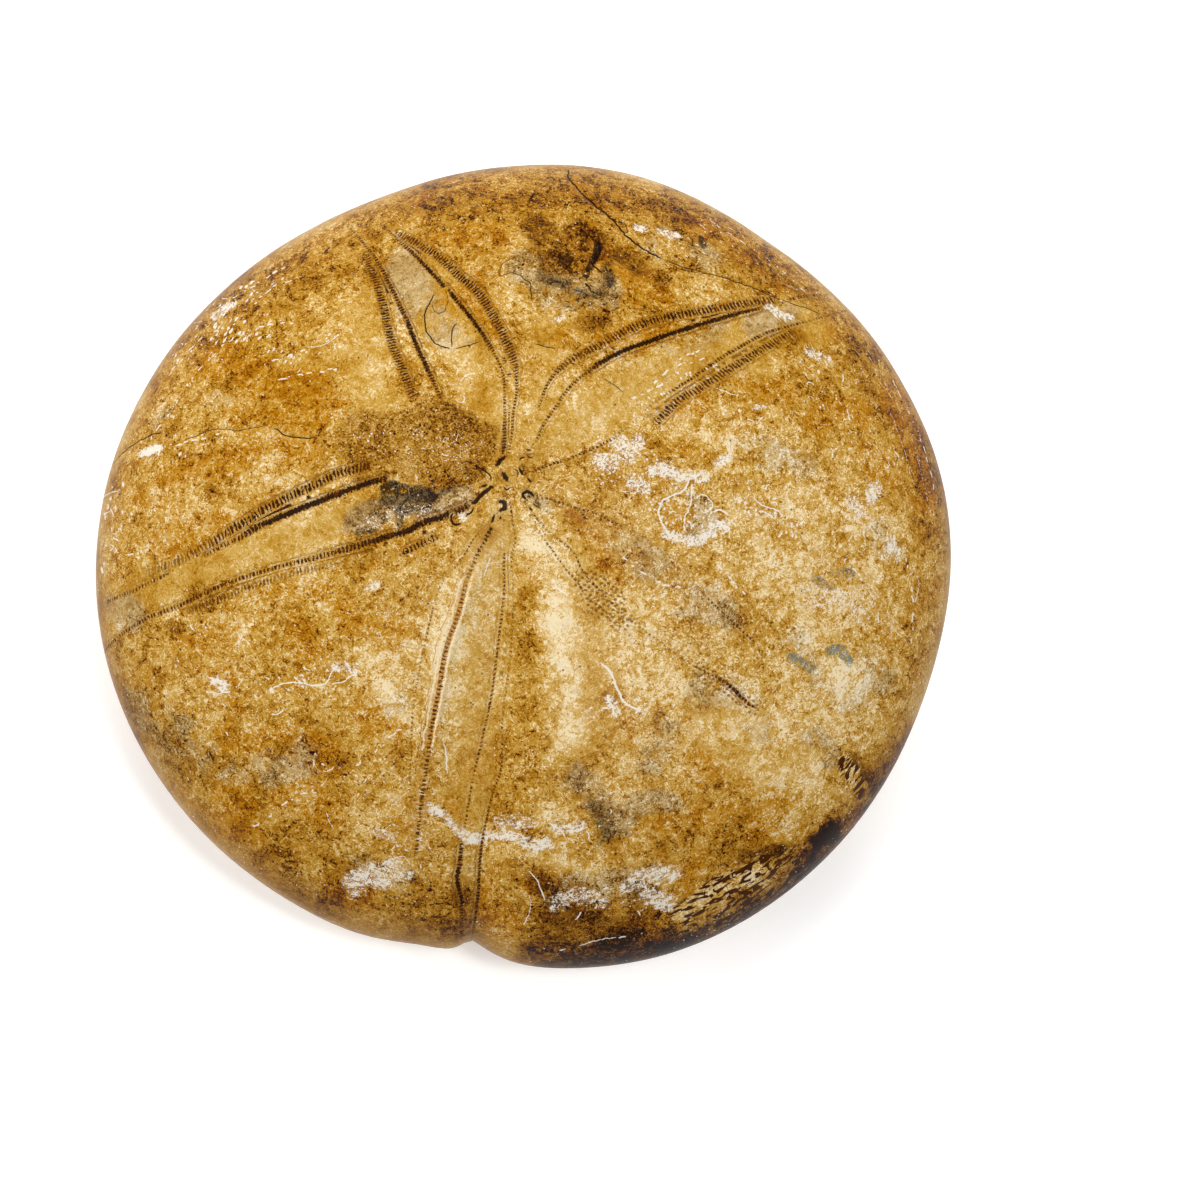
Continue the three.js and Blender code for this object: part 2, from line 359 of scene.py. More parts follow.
# Lightness changes: (amount, radius, plan points of the spine). They add up. Most are the stone's own tone;
# those marked below paint the highlight down the front petal's swelling and raised row, and the shade on
# the swelling's left flank.
TONES_AND_PAINTED_LIGHT = [
    (0.09, 2.4, [(-12.2, 8), (-11.5, 12), (-11.5, 15)]),
    (0.05, 2.2, [(-18, 13.5), (-14.5, 16.5)]),
    (0.12, 2.4, [(5.5, 4.2), (7.5, 6), (9.5, 7.2)]),
    (0.09, 1.6, [(2.3, 3.5), (3.4, 9.5), (3, 14.5)]),
    (0.06, 1.4, [(11, 10), (16, 12.2)]),
    (0.09, 1.3, [(-1.6, 6.5), (-3.2, 9.3)]),
    (0.07, 1.3, [(-5.5, 13), (-8, 17), (-9.5, 20.5)]),
    (0.12, 1.3, [(-20, -2.8), (-15.5, -2.6)]),
    (0.08, 1.3, [(-27.5, -2.4), (-24.5, -2.2)]),
    (0.09, 1.1, [(-28, -8.8), (-20, -6.4), (-14, -5.4)]),
    (0.05, 1.8, [(-28.5, 6), (-24, 7)]),
    (0.08, 1.8, [(-8.6, -13.5), (-9.2, -20)]),
    (0.06, 1.8, [(-14.5, -16), (-11.5, -18)]),
    (0.06, 1.4, [(-5.2, -4.6), (-7, -7.5)]),
    # Pale patch on the swelling beside the front petal, with painted highlight on it.
    (0.10, 1.5, [(2.4, -2.6), (3.6, -8), (4.4, -14), (4.9, -22)]),
    (0.07, 2.6, [(8.5, -12.5), (13, -13.5)]),
    (0.08, 2.0, [(9.5, -16), (13, -17.5)]),
    (0.10, 1.8, [(18.2, -5.2), (20, -6.2)]),
    (0.07, 2.2, [(22.5, -8.2), (27, -10)]),
    (0.10, 1.6, [(25.4, -12.4), (29.5, -15)]),
    (0.10, 2.4, [(16.5, -20.5), (24.5, -23.5)]),
    (0.10, 1.6, [(0.8, -25.3), (3.5, -26.5)]),
    (0.10, 1.1, [(1.5, -31), (7, -31.4)]),
    (0.06, 1.4, [(15.8, 4), (17.4, 5.8)]),
    (0.05, 2.0, [(27.5, 5), (31, 3)]),
    (0.07, 1.4, [(11.5, -4.6), (13, -6.5)]),
    (0.06, 1.6, [(24.5, -0.2), (28, -1.2)]),
    (0.06, 1.4, [(10.5, 14.2), (14.6, 16.4)]),
    (-0.13, 2.4, [(-6, 26), (3, 27.2), (9, 27)]),
    (-0.10, 2.2, [(-4, 23.4), (2, 24.2)]),
    (-0.10, 1.5, [(10.5, 26.4), (16, 23.6), (22.5, 20.6), (26.5, 17.6)]),
    (-0.10, 1.7, [(31.5, 12.5), (34.6, 7), (36.2, 1), (36, -4)]),
    (-0.07, 1.8, [(24.5, 13.6), (29.5, 11.5)]),
    (-0.05, 2.6, [(20, 9.4), (27, 6.6)]),
    (-0.10, 2.0, [(-30.6, -17.5), (-27, -21.6), (-25.4, -24)]),
    (-0.10, 2.2, [(-21.5, -27.6), (-17, -30.4), (-10, -34.6)]),
    (-0.10, 1.8, [(-8, -34.8), (-4.6, -35.4)]),
    (-0.13, 2.1, [(3.4, -36.6), (8.5, -37), (13.4, -37.2)]),
    (-0.13, 1.4, [(2.2, -32.4), (4.4, -33.6)]),
    (-0.10, 1.6, [(13, -30), (20.5, -28.8)]),
    (-0.12, 1.4, [(5.8, -24.8), (7.6, -27.6), (12.4, -27.2)]),
    (-0.08, 1.3, [(11.4, -22.6), (14, -20.8)]),
    (-0.05, 1.8, [(16.8, -16.6), (21, -19.8)]),
    # Painted shade on the swelling's left flank, which faces away from the key light.
    (-0.03, 1.5, [(1.3, -7), (1.4, -14), (0.4, -23)]),
    (-0.08, 1.5, [(-16, -21.6), (-9.6, -23.6)]),
    (-0.06, 1.8, [(-20, 8), (-16.5, 6)]),
    (-0.05, 2.2, [(-24, 15), (-18.5, 19)]),
    (-0.13, 1.5, [(5.6, 12.6), (8.2, 13.8)]),
    (-0.08, 1.2, [(11.6, 17.2), (13.6, 18)]),
    (-0.06, 1.5, [(6.2, -4.2), (8.2, -7.6)]),
    (-0.06, 2.0, [(-30, -12.6), (-25, -13.4)]),
    (-0.06, 1.5, [(-13, -11.6), (-9.4, -13.6)]),
    (-0.12, 1.2, [(27.2, -21.2), (29.4, -23.6)]),
    (-0.15, 0.8, [(20.6, -30.4), (25.5, -30), (28.5, -28.4)]),
    (-0.13, 2.2, [(4, 25.4), (7, 24.6)]),
    (-0.09, 2.2, [(13, 25.4), (17, 24.2)]),
    (-0.18, 1.6, [(9.4, 20.4), (10.8, 19.4)]),
    (-0.10, 2.2, [(14.5, 20.4), (20, 18.6), (25, 19)]),
    (-0.10, 1.8, [(29, 16), (31.5, 13.6)]),
    (-0.17, 1.8, [(9, 15.6), (12, 14.4)]),
    (-0.08, 2.0, [(14, 14.6), (17, 15.6)]),
    (-0.08, 2.2, [(-16, 15), (-14, 18)]),
    (-0.15, 1.6, [(9.4, 5.4), (11.4, 4.2)]),
    (-0.20, 1.5, [(-5.6, 0.4), (-3.4, 0)]),
    (-0.10, 1.8, [(-12, -4.8), (-8.6, -4.4)]),
    (-0.10, 1.8, [(9, -4.8), (11, -5.6)]),
    (-0.05, 2.0, [(13.6, -9), (16, -10.4)]),
    (-0.04, 2.0, [(14, -4), (19.6, -4.6)]),
    (-0.08, 1.6, [(36, -8), (35.6, -12), (34, -17)]),
    (-0.12, 1.6, [(36, 6), (37, 2)]),
    (-0.10, 2.0, [(13.6, -20), (16, -19.6)]),
    (-0.13, 2.0, [(0, -24), (0.4, -26.4)]),
    (-0.08, 2.2, [(14, -25), (21, -25.6)]),
    (-0.12, 1.8, [(30, -24), (31.6, -21.6)]),
    (-0.17, 1.8, [(18.6, -30.6), (22, -30)]),
    (-0.13, 1.6, [(24, -30.6), (27.4, -29)]),
    (-0.08, 2.0, [(9, -30), (11.4, -30.6)]),
    (-0.20, 1.8, [(4, -35), (6.6, -35.6)]),
    (-0.32, 2.0, [(-6.6, -35.4), (-3.8, -35)]),
    (-0.10, 2.2, [(-10, -35), (-20, -30)]),
    (-0.08, 2.0, [(-10, -30), (-5, -30.4)]),
    (-0.07, 2.2, [(-21, -20), (-20, -15)]),
    (-0.10, 1.8, [(-26, -10), (-24, -10.4)]),
    (0.17, 1.6, [(-3.6, 9), (-5.6, 11)]),
    (0.14, 1.4, [(-0.6, 4), (0.4, 6.6)]),
    (0.13, 1.8, [(-16, 5.6), (-14, 4.6)]),
    # Painted highlight along the front petal's raised row.
    (0.20, 1.2, [(-4.4, -10), (-5.6, -15), (-5.6, -21)]),
    (0.10, 2.2, [(-15.6, -10), (-10, -15)]),
    (0.08, 2.2, [(-15, -15), (-10, -20)]),
    # Painted highlight on the swelling.
    (0.06, 1.8, [(4.6, -13), (5, -21)]),
    (0.10, 1.6, [(9, -10), (11, -10.6)]),
    (0.14, 1.6, [(-30.6, 1), (-29.6, -1.4)]),
    (0.08, 2.0, [(24, -15), (27, -14)]),
    (0.08, 2.0, [(19, 10), (26, 10.6)]),
    (0.08, 1.4, [(4.6, 0), (6, 0.4)]),
    (0.09, 3.0, [(30, -4), (31, -12), (30, -20)]),
    (0.10, 2.4, [(14, -15.4), (17, -15.6)]),
    (0.09, 2.4, [(-4, -13), (-3, -17)]),
    (0.08, 1.8, [(0, -12), (0.6, -17)]),
    (0.10, 1.5, [(24, 15.6), (26, 14.6)]),
    (0.13, 1.4, [(19.6, 3.6), (22, 2)]),
    (0.10, 1.4, [(10.6, 4.8), (11.4, 5.4)]),
    (0.09, 2.0, [(9.6, -25), (12, -28.6)]),
    (0.08, 2.0, [(-5.6, -25), (-5, -30)]),
    (0.12, 1.6, [(-5, 1.2), (-3.4, 0.6)]),
    (0.10, 1.2, [(-0.8, -0.4), (0.6, 0.2)]),
    (-0.42, 1.8, [(4, -39.6), (14, -38.6), (24, -33.6), (31, -27), (36.4, -20)]),
    (-0.12, 2.0, [(-29, 11), (-25, 16), (-20, 20.4)]),
    (-0.10, 2.0, [(-12, 26), (-4, 28), (6, 28)]),
    (-0.10, 1.8, [(-36, -4), (-35, -12), (-31, -20)]),
    (-0.10, 1.8, [(37.4, 6), (38.6, -2)]),
    (-0.10, 2.2, [(3.6, 20), (6.6, 19.6)]),
    (-0.13, 2.0, [(8, -35), (12, -35.4)]),
    (-0.06, 2.4, [(-12, 14), (-11, 19)]),
    (-0.08, 2.0, [(-27, -8.4), (-24, -10)]),
    # Painted highlight right of the swelling's left edge, and painted shade on the flank beside it.
    (0.07, 1.3, [(2.0, -5), (3.0, -9), (4.0, -14), (4.4, -20)]),
    (-0.10, 0.9, [(0.9, -7), (1.1, -12), (1.2, -19)]),
    (0.05, 3.0, [(22, -4), (27, -8), (26, -16)]),
    (-0.07, 1.2, [(-10, -2.8), (-5, -1.9)]),
    (0.06, 1.6, [(-3.6, -8), (-4, -13), (-4.4, -20)]),
    (0.05, 1.2, [(0.2, -5), (-0.2, -12), (-0.4, -18)]),
    (0.07, 2.0, [(-24, -9.4), (-18, -8)]),
    (0.07, 1.6, [(0.4, 9), (0.4, 19)]),
    (0.05, 1.6, [(-12, 20), (-10, 21)]),
    (0.08, 1.6, [(30, -4.4), (35, -0.6)]),
    (0.05, 2.0, [(17, -17), (23, -18.6)]),
    (0.05, 2.0, [(-11, -20), (-10, -30)]),
    (0.04, 1.8, [(24, 5), (27, 4.4)]),
    (-0.05, 1.8, [(-22, 15), (-17, 18)]),
    (-0.05, 1.4, [(3.6, 17), (6, 17.4)]),
    # Painted highlight on the swelling.
    (0.07, 2.0, [(3, -6), (4.6, -22)]),
    (-0.04, 5.0, [(-24, 12), (-14, 14)]),
    (-0.05, 3.4, [(-6, 23), (4, 24), (10, 24)]),
    (0.07, 5.0, [(22, -2), (26, -8), (25, -15)]),
    (0.08, 4.0, [(13, -21), (24, -20)]),
    # Painted highlight spreading to the right of the swelling.
    (0.07, 3.0, [(6.5, -10), (7.5, -17)]),
    (0.08, 2.2, [(9.5, -14.5), (11, -15.5)]),
    (-0.06, 2.6, [(-25, 15), (-20, 16), (-15, 20)]),
    (0.08, 1.8, [(-20.6, 10.4), (-18.6, 9.6)]),
    (0.07, 1.8, [(-10.6, 10.6), (-9.4, 9.4)]),
    (0.08, 1.4, [(0, 5.4), (0.6, 4)]),
    (0.05, 1.6, [(1.6, 9), (4, 10)]),
    (0.06, 1.8, [(-5.4, 20.4), (-4.6, 19.4)]),
    (0.06, 1.8, [(19.6, 15.4), (21, 14.4)]),
    (-0.08, 1.6, [(14, 26), (19, 22.8), (25, 19.8)]),
    (0.07, 2.4, [(-24, -8.6), (-19, -5.6)]),
    (0.08, 2.4, [(-10, -9.4), (-10.6, -15.6)]),
    (0.07, 2.0, [(-25, -14.4), (-24.4, -16)]),
    (0.07, 1.6, [(-4.6, -14), (-4.8, -20.6)]),
    (0.06, 2.2, [(19, -20), (21.4, -20.6)]),
    (0.08, 2.6, [(30.4, -3.6), (31, -9), (31, -16)]),
    (0.06, 1.8, [(35, 0.6), (35.4, -4)]),
    (0.08, 2.2, [(24.4, -24.6), (28.6, -24.4), (30, -20)]),
    (0.06, 3.0, [(-10, -29.6), (0, -30.4), (12, -30)]),
    (0.08, 2.0, [(-11, -35), (-4.6, -35)]),
    (-0.12, 1.5, [(24, -30.6), (27, -28.4)]),
    # Painted highlight fanning down the swelling from the apex, and on the raised row.
    (0.08, 0.9, [(1.4, -3.2), (2.4, -7.6)]),
    (0.09, 1.6, [(3.2, -10.6), (4.2, -15), (4.4, -21.6)]),
    (0.10, 1.0, [(-2.2, -5.6), (-2.7, -11)]),
    (0.06, 1.8, [(8, -12), (9.4, -15.6)]),
    (-0.20, 1.1, [(14, -38.6), (22, -35.7), (27, -31.7)]),
    (-0.07, 1.4, [(14.6, 26.4), (20, 23), (26, 18.8)]),
    (-0.06, 1.8, [(-31, 5.4), (-31.4, 0)]),
    (-0.05, 1.8, [(-20, 5.4), (-15, 5.6)]),
    (-0.09, 1.4, [(-19, -23.8), (-16.6, -23)]),
    (-0.06, 1.3, [(-12, -12), (-11, -13.4)]),
    (-0.05, 1.8, [(14, -5.4), (16.4, -4.6)]),
    (-0.05, 1.6, [(-10.6, -1.6), (-6, -1.4)]),
]

# Stains and markings, by kind: (strength, radius, plan points of the spine). The strongest counts.
MARKS = {
    "amber": [
        (1.0, 1.7, [(-23.6, 11), (-21, 9.2)]),
        (0.75, 1.5, [(-20.5, 7.4), (-16, 8.2)]),
        (0.6, 1.3, [(-18, 5), (-14.8, 6.2)]),
        (0.9, 1.1, [(-28.5, 1), (-25, 1.4), (-21.6, 1.9)]),
        (0.6, 1.0, [(-20, 3), (-17.5, 1.6)]),
        (0.8, 1.3, [(-29.8, -5.4), (-26.6, -4.8), (-23.6, -3.8)]),
        (0.7, 0.8, [(-30.5, -0.8), (-29.4, -1.4)]),
        (0.7, 1.6, [(-22, 4.6), (-18.6, 5)]),
        (0.8, 1.1, [(-20.5, -9.2), (-16.5, -9.2), (-13.5, -10.6)]),
        (0.75, 1.4, [(-18, -12), (-16, -14.6)]),
        (0.85, 1.3, [(-13.2, -12), (-9.4, -13.2)]),
        (0.6, 1.3, [(-28, -13.6), (-26, -14)]),
        (0.7, 1.5, [(-23.6, -16.4), (-21, -18.2)]),
        (0.65, 1.6, [(-23, -21.6), (-18.6, -22), (-14, -23.6)]),
        (1.0, 1.9, [(-23, -26.4), (-21.4, -28.6)]),
        (0.7, 1.6, [(-18, -25.6), (-15.2, -27)]),
        (0.7, 1.4, [(-14.4, -33.2), (-11.4, -34.2)]),
        (0.7, 1.4, [(-9.6, -21.4), (-12, -20)]),
        (0.6, 1.4, [(-9.2, -27.6), (-8.4, -30)]),
        (1.0, 1.5, [(-1.4, -33.8), (0.4, -36)]),
        (0.6, 1.0, [(-4.4, -27), (-3.2, -24.6)]),
        (0.8, 1.0, [(10.2, -19.6), (10.4, -22)]),
        (0.8, 1.5, [(13.6, -28.8), (18, -28), (24.4, -27.4)]),
        (0.8, 1.2, [(16, -30.8), (15, -32.8)]),
        (0.7, 1.6, [(16.6, -23.8), (23, -26)]),
        (0.8, 1.0, [(2.6, -33), (5.4, -32.6)]),
        (1.0, 0.8, [(6.8, -4.6), (7.8, -6.6), (8.6, -8)]),
        (0.8, 0.6, [(5, -2.8), (6.2, -4)]),
        (0.9, 1.3, [(33.6, 9.4), (35.2, 5), (36.4, 0)]),
        (0.8, 1.3, [(31.4, 3.6), (33, 1)]),
        (0.7, 1.6, [(20.4, 9.4), (24.6, 8.6)]),
        (0.8, 1.3, [(27, 6), (30, 8)]),
        (0.7, 0.9, [(12.4, 3), (17.4, 2.2)]),
        (0.7, 1.1, [(12.6, 6.4), (16.4, 7)]),
        (0.6, 1.1, [(21, -1.4), (24, -3)]),
        (0.6, 1.2, [(31, -8), (33, -11)]),
        (0.8, 1.0, [(13.6, -2.4), (13.8, -3.4)]),
        (0.8, 1.5, [(9.4, 17.4), (13.6, 17.2)]),
        (0.7, 1.4, [(14, 13.6), (8.6, 11.8)]),
        (0.8, 1.3, [(6.8, 22.6), (7.4, 20)]),
        (0.7, 1.5, [(-6, 21.6), (-1, 21.8)]),
        (0.7, 1.4, [(16, 23.6), (20, 21.8)]),
        (0.5, 1.4, [(24, 17.4), (27.6, 14.8)]),
        (0.5, 1.0, [(2.8, 8.2), (4, 11.6)]),
        (0.6, 1.0, [(-1.6, 12.8), (-3.4, 17.4)]),
        (0.7, 1.0, [(-5.9, 15.9), (-5.6, 15.4)]),
    ],
    "grey": [
        (0.8, 1.7, [(-5.4, 12.6), (-7.6, 16), (-9.2, 20)]),
        (0.65, 1.5, [(20.6, 3.4), (25.6, 2.6)]),
        (0.9, 0.9, [(15.4, -1.4), (16.8, -3.2), (15.6, -4.4)]),
        (1.3, 1.1, [(-12.8, -3.6), (-9.8, -2.7), (-7.2, -2.2), (-4.6, -1.8)]),
        (1.2, 0.4, [(1.3, -1.5), (1.7, -1.6)]),
        (0.9, 0.7, [(2.3, -2.1), (2.7, -2.4)]),
        (0.6, 2.0, [(-30.4, -17.6), (-26.4, -22.6)]),
        (0.6, 1.6, [(-22.4, -24.4), (-16.6, -22.6)]),
        (0.8, 1.4, [(24, -12.6), (26, -15.4)]),
        (0.9, 1.1, [(26.4, -20.6), (27.6, -22.4)]),
        (0.8, 1.5, [(6, -25), (8.4, -28), (13, -26.6)]),
        (0.6, 1.4, [(11.4, -22.8), (14, -20.8)]),
        (0.6, 1.7, [(16.4, -16.8), (21, -19.8)]),
        (0.6, 2.0, [(10, -5.6), (14, -9), (18, -11)]),
        (0.7, 1.6, [(5, -33.6), (12.4, -32.6)]),
        (0.5, 1.4, [(9.8, 9.8), (17.6, 13.4)]),
        (0.8, 1.2, [(21, 14.4), (24.6, 15.6)]),
        (0.8, 1.6, [(1.8, 18.6), (3.4, 16.6), (8.4, 16.6)]),
        (0.5, 2.0, [(12.5, 21.6), (17, 20.6)]),
        (0.7, 1.6, [(31.4, -3.4), (34, -4.6)]),
        (0.6, 1.6, [(29, -17), (32.6, -15)]),
        (0.6, 1.1, [(-8.6, -17.6), (-9.4, -19.4)]),
        (0.5, 1.4, [(-12, -31.6), (-8.4, -33.4)]),
        (0.4, 2.0, [(-28.6, 5.6), (-24, 7)]),
        (0.7, 1.2, [(-32.6, -10), (-31, -11.4)]),
    ],
    "matrix": [
        (1.0, 3.2, [(-11.6, 3.3), (-8, 3.5), (-4.8, 3.5)]),
        (1.0, 0.9, [(-9.6, 0.9), (-7.6, 0.2), (-5, -0.2), (-3.2, 0.2)]),
    ],
    "slate": [
        (0.9, 0.5, [(23.8, -14.2), (25.7, -14.9)]),
        (0.95, 0.5, [(27.3, -13.4), (28.5, -13.3), (29.3, -14.1)]),
    ],
    "soot": [
        (1.0, 0.6, [(-10.4, -0.8), (-8.8, -1.1), (-6.8, -1.4)]),
        (0.6, 1.0, [(-10, -1.7), (-7.9, -2.1)]),
        (0.7, 0.45, [(-7.2, -1.5), (-8.1, -2.5), (-8.8, -3.0)]),
        (0.6, 0.4, [(-9.2, -2.9), (-9.0, -4.0)]),
        (0.5, 0.4, [(-6.4, -1.5), (-4.8, -1.0)]),
        (0.5, 0.5, [(-12.6, -4.7), (-11.2, -4.5)]),
        (0.5, 0.7, [(2.8, 17.8), (5, 17.2)]),
        (0.8, 0.3, [(1.9, -2.0), (2.2, -2.3)]),
        (0.85, 0.34, [(7.7, 21.2), (7.5, 19.6), (6.6, 18)]),
        (0.5, 0.6, [(5.4, 16.6), (8, 16.4)]),
        (0.6, 0.55, [(8.4, 19), (8.6, 17.4)]),
        (0.5, 0.8, [(26, -7.2), (27.4, -8)]),
        (0.45, 0.7, [(28, -6.6), (29.4, -6.3)]),
        (0.45, 1.0, [(6.8, -26.8), (8.2, -29.2)]),
        (0.3, 1.0, [(9.4, -24), (10.2, -26)]),
        (0.6, 0.5, [(16.6, 22.4), (16.8, 21.8)]),
    ],
    "pit": [
        (1.0, 1.5, [(4, 19.6), (6.6, 19.6)]),
        (0.9, 1.2, [(7, 21.6), (6, 22.4)]),
        (0.6, 1.3, [(2.4, 22.6), (4, 21.4)]),
        (0.5, 1.0, [(9.4, 20.1), (11.2, 19)]),
    ],
    "brown": [
        (0.6, 1.3, [(6.2, 13.8), (8.1, 13.5)]),
        (0.5, 1.6, [(4.6, -36.6), (8, -36.8), (10.4, -36.8)]),
        (0.7, 0.8, [(20.4, -30.6), (25.5, -30), (28.6, -28.4)]),
        (0.7, 1.1, [(-3.8, -31.6), (-4, -34)]),
        (0.8, 1.0, [(2.6, -32.4), (4.2, -33.4)]),
        (1.0, 0.55, [(-28.2, -11.8), (-27.4, -12.2)]),
        (0.7, 0.5, [(-27, -14.8), (-27.2, -15.2)]),
        (0.8, 0.45, [(-7.2, -16.2), (-6.6, -17)]),
        (0.6, 0.45, [(-3.4, -22.6), (-2.6, -22.9)]),
        (0.8, 0.9, [(13, 18), (13.4, 17.6)]),
        (0.8, 0.35, [(12.4, -19.4), (12.4, -20.2)]),
        (0.7, 0.9, [(15.2, -18.4), (16.6, -18.8)]),
        (0.8, 0.9, [(29.4, -22.4), (31, -24)]),
        (0.7, 0.5, [(35.4, -1.2), (35.6, -1.6)]),
        (1.2, 0.36, [(1.0, 0.95), (1.3, 0.6)]),
    ],
    "chalk": [
        (0.8, 0.5, [(-6.5, -27.3), (-5, -28), (-3.1, -29.5)]),
        (0.95, 0.5, [(-3.1, -29.5), (-1.2, -29.3), (0.6, -29.4), (2.5, -30.1), (3.6, -29.8)]),
        (0.8, 0.5, [(4.3, -28.7), (6.2, -28.5)]),
        (0.8, 1.0, [(-12.4, -33.2), (-11.2, -32.3), (-10, -32.6)]),
        (0.6, 0.6, [(-10.5, -29.1), (-9.2, -29.7)]),
        (0.7, 0.6, [(-9.5, -31.8), (-8, -32.6)]),
        (0.8, 1.0, [(8.9, 3), (9.7, 2.3), (10.7, 3.4)]),
        (0.75, 0.8, [(8.4, 1.5), (7.3, 1.5)]),
        (0.8, 0.7, [(10, 0.2), (11.1, -0.3)]),
        (0.95, 0.5, [(11.8, 1), (12.9, 1.2), (14.2, 0.7), (16.5, 0.6)]),
        (0.9, 0.5, [(17.6, 2), (18.4, 2.4)]),
        (0.95, 0.5, [(13.1, -4.2), (14, -4.7), (15.8, -5), (16.9, -4.2)]),
        (0.9, 0.5, [(17, -3.2), (18.2, -3.4)]),
        (0.6, 0.8, [(4.6, -34.7), (6.4, -34.4), (8.3, -34.7)]),
        (0.8, 0.9, [(10.5, -33.2), (12, -32.5), (13.9, -32.1)]),
        (0.85, 0.8, [(13.7, -34.6), (12.1, -34.3)]),
        (0.9, 0.45, [(11.3, 22.9), (12, 22.8)]),
        (0.9, 0.45, [(13.4, 22.6), (14.4, 22.5)]),
        (0.7, 0.7, [(29.2, -0.5), (30, -1.4)]),
        (0.8, 0.7, [(31.2, -0.2), (31.6, 0.8)]),
        (0.75, 0.9, [(33.1, -4), (33.9, -4.4)]),
        (0.7, 0.45, [(8.2, -18.2), (8.8, -19.6)]),
        (1.3, 0.42, [(-30.4, 3.1), (-29.3, 3.3)]),
        (0.7, 0.35, [(20.8, 6.9), (21.8, 7)]),
        (0.7, 0.6, [(26, 12.4), (27.4, 12)]),
        (0.9, 0.55, [(-24.4, -16.6), (-23.4, -17.2)]),
        (0.7, 0.45, [(-14.6, -15.9), (-12.8, -16.2)]),
        (0.8, 0.55, [(22.6, 16.2), (24.2, 15.4)]),
        (0.9, 0.45, [(-24.8, 15), (-23.2, 16)]),
        (0.6, 0.8, [(-0.2, -28), (2, -28.2)]),
        (0.8, 0.4, [(4, 13.8), (4.4, 14.2)]),
        (0.8, 0.4, [(-11.8, -9.4), (-11.2, -9)]),
        (1.2, 0.34, [(-4.3, -3.1), (-4, -3.3)]),
        (0.4, 1.0, [(19.6, -1.4), (23, -2.4)]),
        (0.42, 0.9, [(-12.2, -4.0), (-9.6, -3.4), (-6.4, -2.5)]),
        (0.5, 1.4, [(27, -9.4), (30, -9.6)]),
        (0.4, 1.0, [(29, -14.6), (32, -13.4)]),
    ],
    "flecks": [
        (0.75, 1.5, [(-27.4, 11.4), (-24.6, 15), (-19.6, 18.2)]),
        (0.8, 1.3, [(-24, 13.4), (-20.4, 13.4)]),
        (0.6, 1.4, [(-19.4, 10.6), (-15, 11.6)]),
        (0.7, 1.1, [(-30, 3.6), (-27.4, 2.6)]),
        (0.8, 1.4, [(-32.4, 0), (-33.4, -6)]),
        (0.9, 2.0, [(8, 1.6), (12.4, 0.4), (15, -2)]),
        (0.9, 1.6, [(13.4, -2), (17.4, -4.4)]),
        (0.8, 1.3, [(10.8, 6.8), (14.6, 8.6), (17, 10.2)]),
        (0.8, 1.6, [(20.4, -0.8), (24.4, -2.8)]),
        (0.7, 1.8, [(28, -2.2), (32.4, -4.4)]),
        (0.6, 1.4, [(8, -18.6), (10.6, -19)]),
        (0.55, 1.6, [(-20, -17.6), (-13, -16.4)]),
        (0.55, 2.2, [(-11, 3.2), (-4.6, 2.4)]),
        (0.5, 1.4, [(-3.6, 7.4), (-4.6, 9.4)]),
        (0.45, 2.2, [(-19, -23), (-13, -25.6)]),
        (0.5, 1.6, [(-9.4, -31), (-6.4, -29.6)]),
        (0.5, 1.6, [(5, -34.4), (13, -34)]),
        (0.45, 1.6, [(15, 21.4), (19, 23)]),
        (0.35, 3.0, [(29, 9), (34, 3)]),
        (0.5, 1.2, [(7.4, -28.6), (9.4, -28)]),
        (0.45, 2.0, [(14, -8), (18, -9.6)]),
        (0.3, 4.0, [(-27, -14), (-22, -20)]),
        (0.5, 2.0, [(18, 6), (24, 2)]),
        (0.5, 2.0, [(24, -6), (30, -10)]),
        (0.45, 2.0, [(26, 10), (31, 5)]),
    ],
    "net": [
        (1.0, 1.5, [(15.2, -35.4), (18.6, -33.6), (22, -31.8)]),
        (0.95, 1.3, [(19, -35.6), (23, -33), (25.6, -30.4)]),
        (0.7, 1.0, [(29, -22.8), (31, -25)]),
    ],
    "smooth": [
        (0.9, 1.9, [(-1.2, 5), (-4, 11), (-8.2, 19)]),
        (0.9, 1.5, [(-12, -2.8), (-22, -6), (-32, -9.6)]),
        (0.9, 2.1, [(4.6, 4), (9, 7.4), (18, 11.6), (26, 15.4)]),
        (0.7, 2.2, [(-1.2, -5), (-2, -15), (-3.2, -27)]),
        (0.8, 1.6, [(2.4, 3), (3.4, 13)]),
        (0.7, 2.4, [(-12, 8), (-12, 15)]),
        (0.6, 2.4, [(5, -8), (5.6, -22)]),
        (0.6, 3.0, [(18, -21), (24, -23)]),
        (0.5, 2.4, [(-18, 8), (-16, 10)]),
    ],
    "dots": [
        (1.0, 1.0, [(6.6, -8.6), (8.6, -9.6)]),
        (0.7, 1.2, [(7.4, -10.4), (9.4, -11.4)]),
        (0.8, 0.7, [(16, -15.4), (18, -17), (20.6, -18.8)]),
        (0.4, 1.4, [(12, -13.4), (17, -13.8)]),
    ],
}

